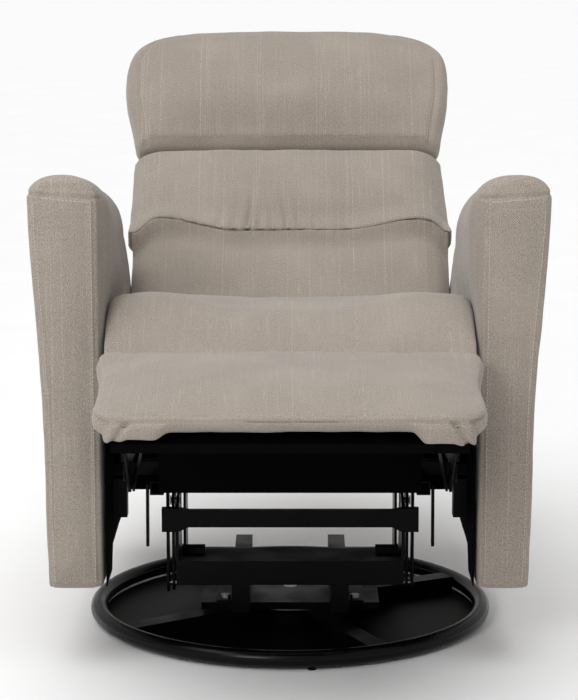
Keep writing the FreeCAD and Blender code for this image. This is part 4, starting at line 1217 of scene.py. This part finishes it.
FINISHES = {
    "black_steel": powder_coat("black_powder_coat"),
    "zinc_steel": bare_metal("zinc_plate", linear(150, 148, 142), linear(214, 212, 206), 0.32),
    "spring_steel": bare_metal("spring_wire", linear(40, 40, 43), linear(96, 96, 100), 0.42),
    "black_plastic": moulded("black_plastic_grain", grey(3), grey(9), 0.42, 900),
    "rubber": moulded("black_rubber_grain", grey(6), linear(20, 20, 19), 0.75, 600),
    "timber": plywood(),
    "webbing": elastic(),
    "black_board": CAMBRIC,
    UPHOLSTERY: CLOTH_PAD,
}
OWN_FINISH = {"base_ring": powder_coat("black_ring_gloss", dull=0.32, shiny=0.2, gloss=0.16)}

# One of the nodes given a black finish here is the thin floor pan inside the base ring: a dark sheet that stands
# for the deep shadow on the floor under the chair.
for entry in frame["record"]["subparts"]:
    part = frame["nodes"][entry["node"]]
    part.data.materials.clear()
    part.data.materials.append(OWN_FINISH.get(entry["node"], FINISHES[entry["material_slot"]]))


# ---- floor, light and camera

FLOOR_HALF = 90


def make_floor():
    corners = [(-1, -1), (1, -1), (1, 1), (-1, 1)]
    floor = new_piece("floor", [(FLOOR_HALF * x, FLOOR_HALF * y, 0) for x, y in corners], [(0, 1, 2, 3)])
    look = Look("pale_floor", roughness=0.6, specular_ior_level=0.2)
    cloud = look.noise(look.place, 3, detail=2.0)
    floor.data.materials.append(look.done(look.tint(cloud, grey(244), grey(250))))


def add_light(name, kind, power, place, turn):
    """A light in the scene; gives back its lamp."""
    lamp = bpy.data.lights.new(name, kind)
    lamp.energy = power
    adjust(add(name, lamp), location=place, rotation_mode="QUATERNION", rotation_quaternion=turn)
    return lamp


KEY_PLACE = Vector((-1.2, -3.0, 1.7))
KEY_AIM = Vector((0.05, 0, 0.82))
KEY_SIZE = 0.9
KEY_SPREAD = 50
KEY_POWER = 4.2
SUN_TOWARDS = Vector((-0.30, -0.42, 1.6))
SUN_SPREAD = 60
SUN_STRENGTH = 2.05
# The backdrop is white where it is seen, and lights the chair less strongly than that.
WORLD_LIGHT = 0.48


def make_light():
    world = bpy.data.worlds.new("studio")
    scene.world = world
    world.use_nodes = True
    nodes, links = world.node_tree.nodes, world.node_tree.links
    background = nodes["Background"]
    background.inputs["Color"].default_value = (1, 1, 1, 1)
    seen = nodes.new("ShaderNodeLightPath")
    strength = nodes.new("ShaderNodeMapRange")
    strength.inputs["To Min"].default_value = WORLD_LIGHT
    strength.inputs["To Max"].default_value = 1.0
    links.new(seen.outputs["Is Camera Ray"], strength.inputs["Value"])
    links.new(strength.outputs["Result"], background.inputs["Strength"])
    turn = SUN_TOWARDS.to_track_quat("Z", "Y")
    sun = add_light("overhead", "SUN", SUN_STRENGTH, (0, 0, 0), turn)
    sun.angle = math.radians(SUN_SPREAD)
    turn = (KEY_AIM - KEY_PLACE).to_track_quat("-Z", "Y")
    key = add_light("key", "AREA", KEY_POWER, KEY_PLACE, turn)
    key.size = KEY_SIZE
    key.spread = math.radians(KEY_SPREAD)
    scene.view_settings.view_transform = "Standard"


CAMERA_PLACE = (0, -3.4, 0.987)
CAMERA_DOWN = 9.66
CAMERA_LENS = 117.57
CAMERA_SENSOR = 36
CAMERA_SHIFT = -0.0017


def make_camera():
    lens = bpy.data.cameras.new("camera")
    adjust(lens, sensor_width=CAMERA_SENSOR, lens=CAMERA_LENS, shift_x=CAMERA_SHIFT)
    camera = add("camera", lens)
    camera.location = CAMERA_PLACE
    camera.rotation_euler = (math.radians(90 - CAMERA_DOWN), 0, 0)
    scene.camera = camera


make_floor()
make_light()
make_camera()
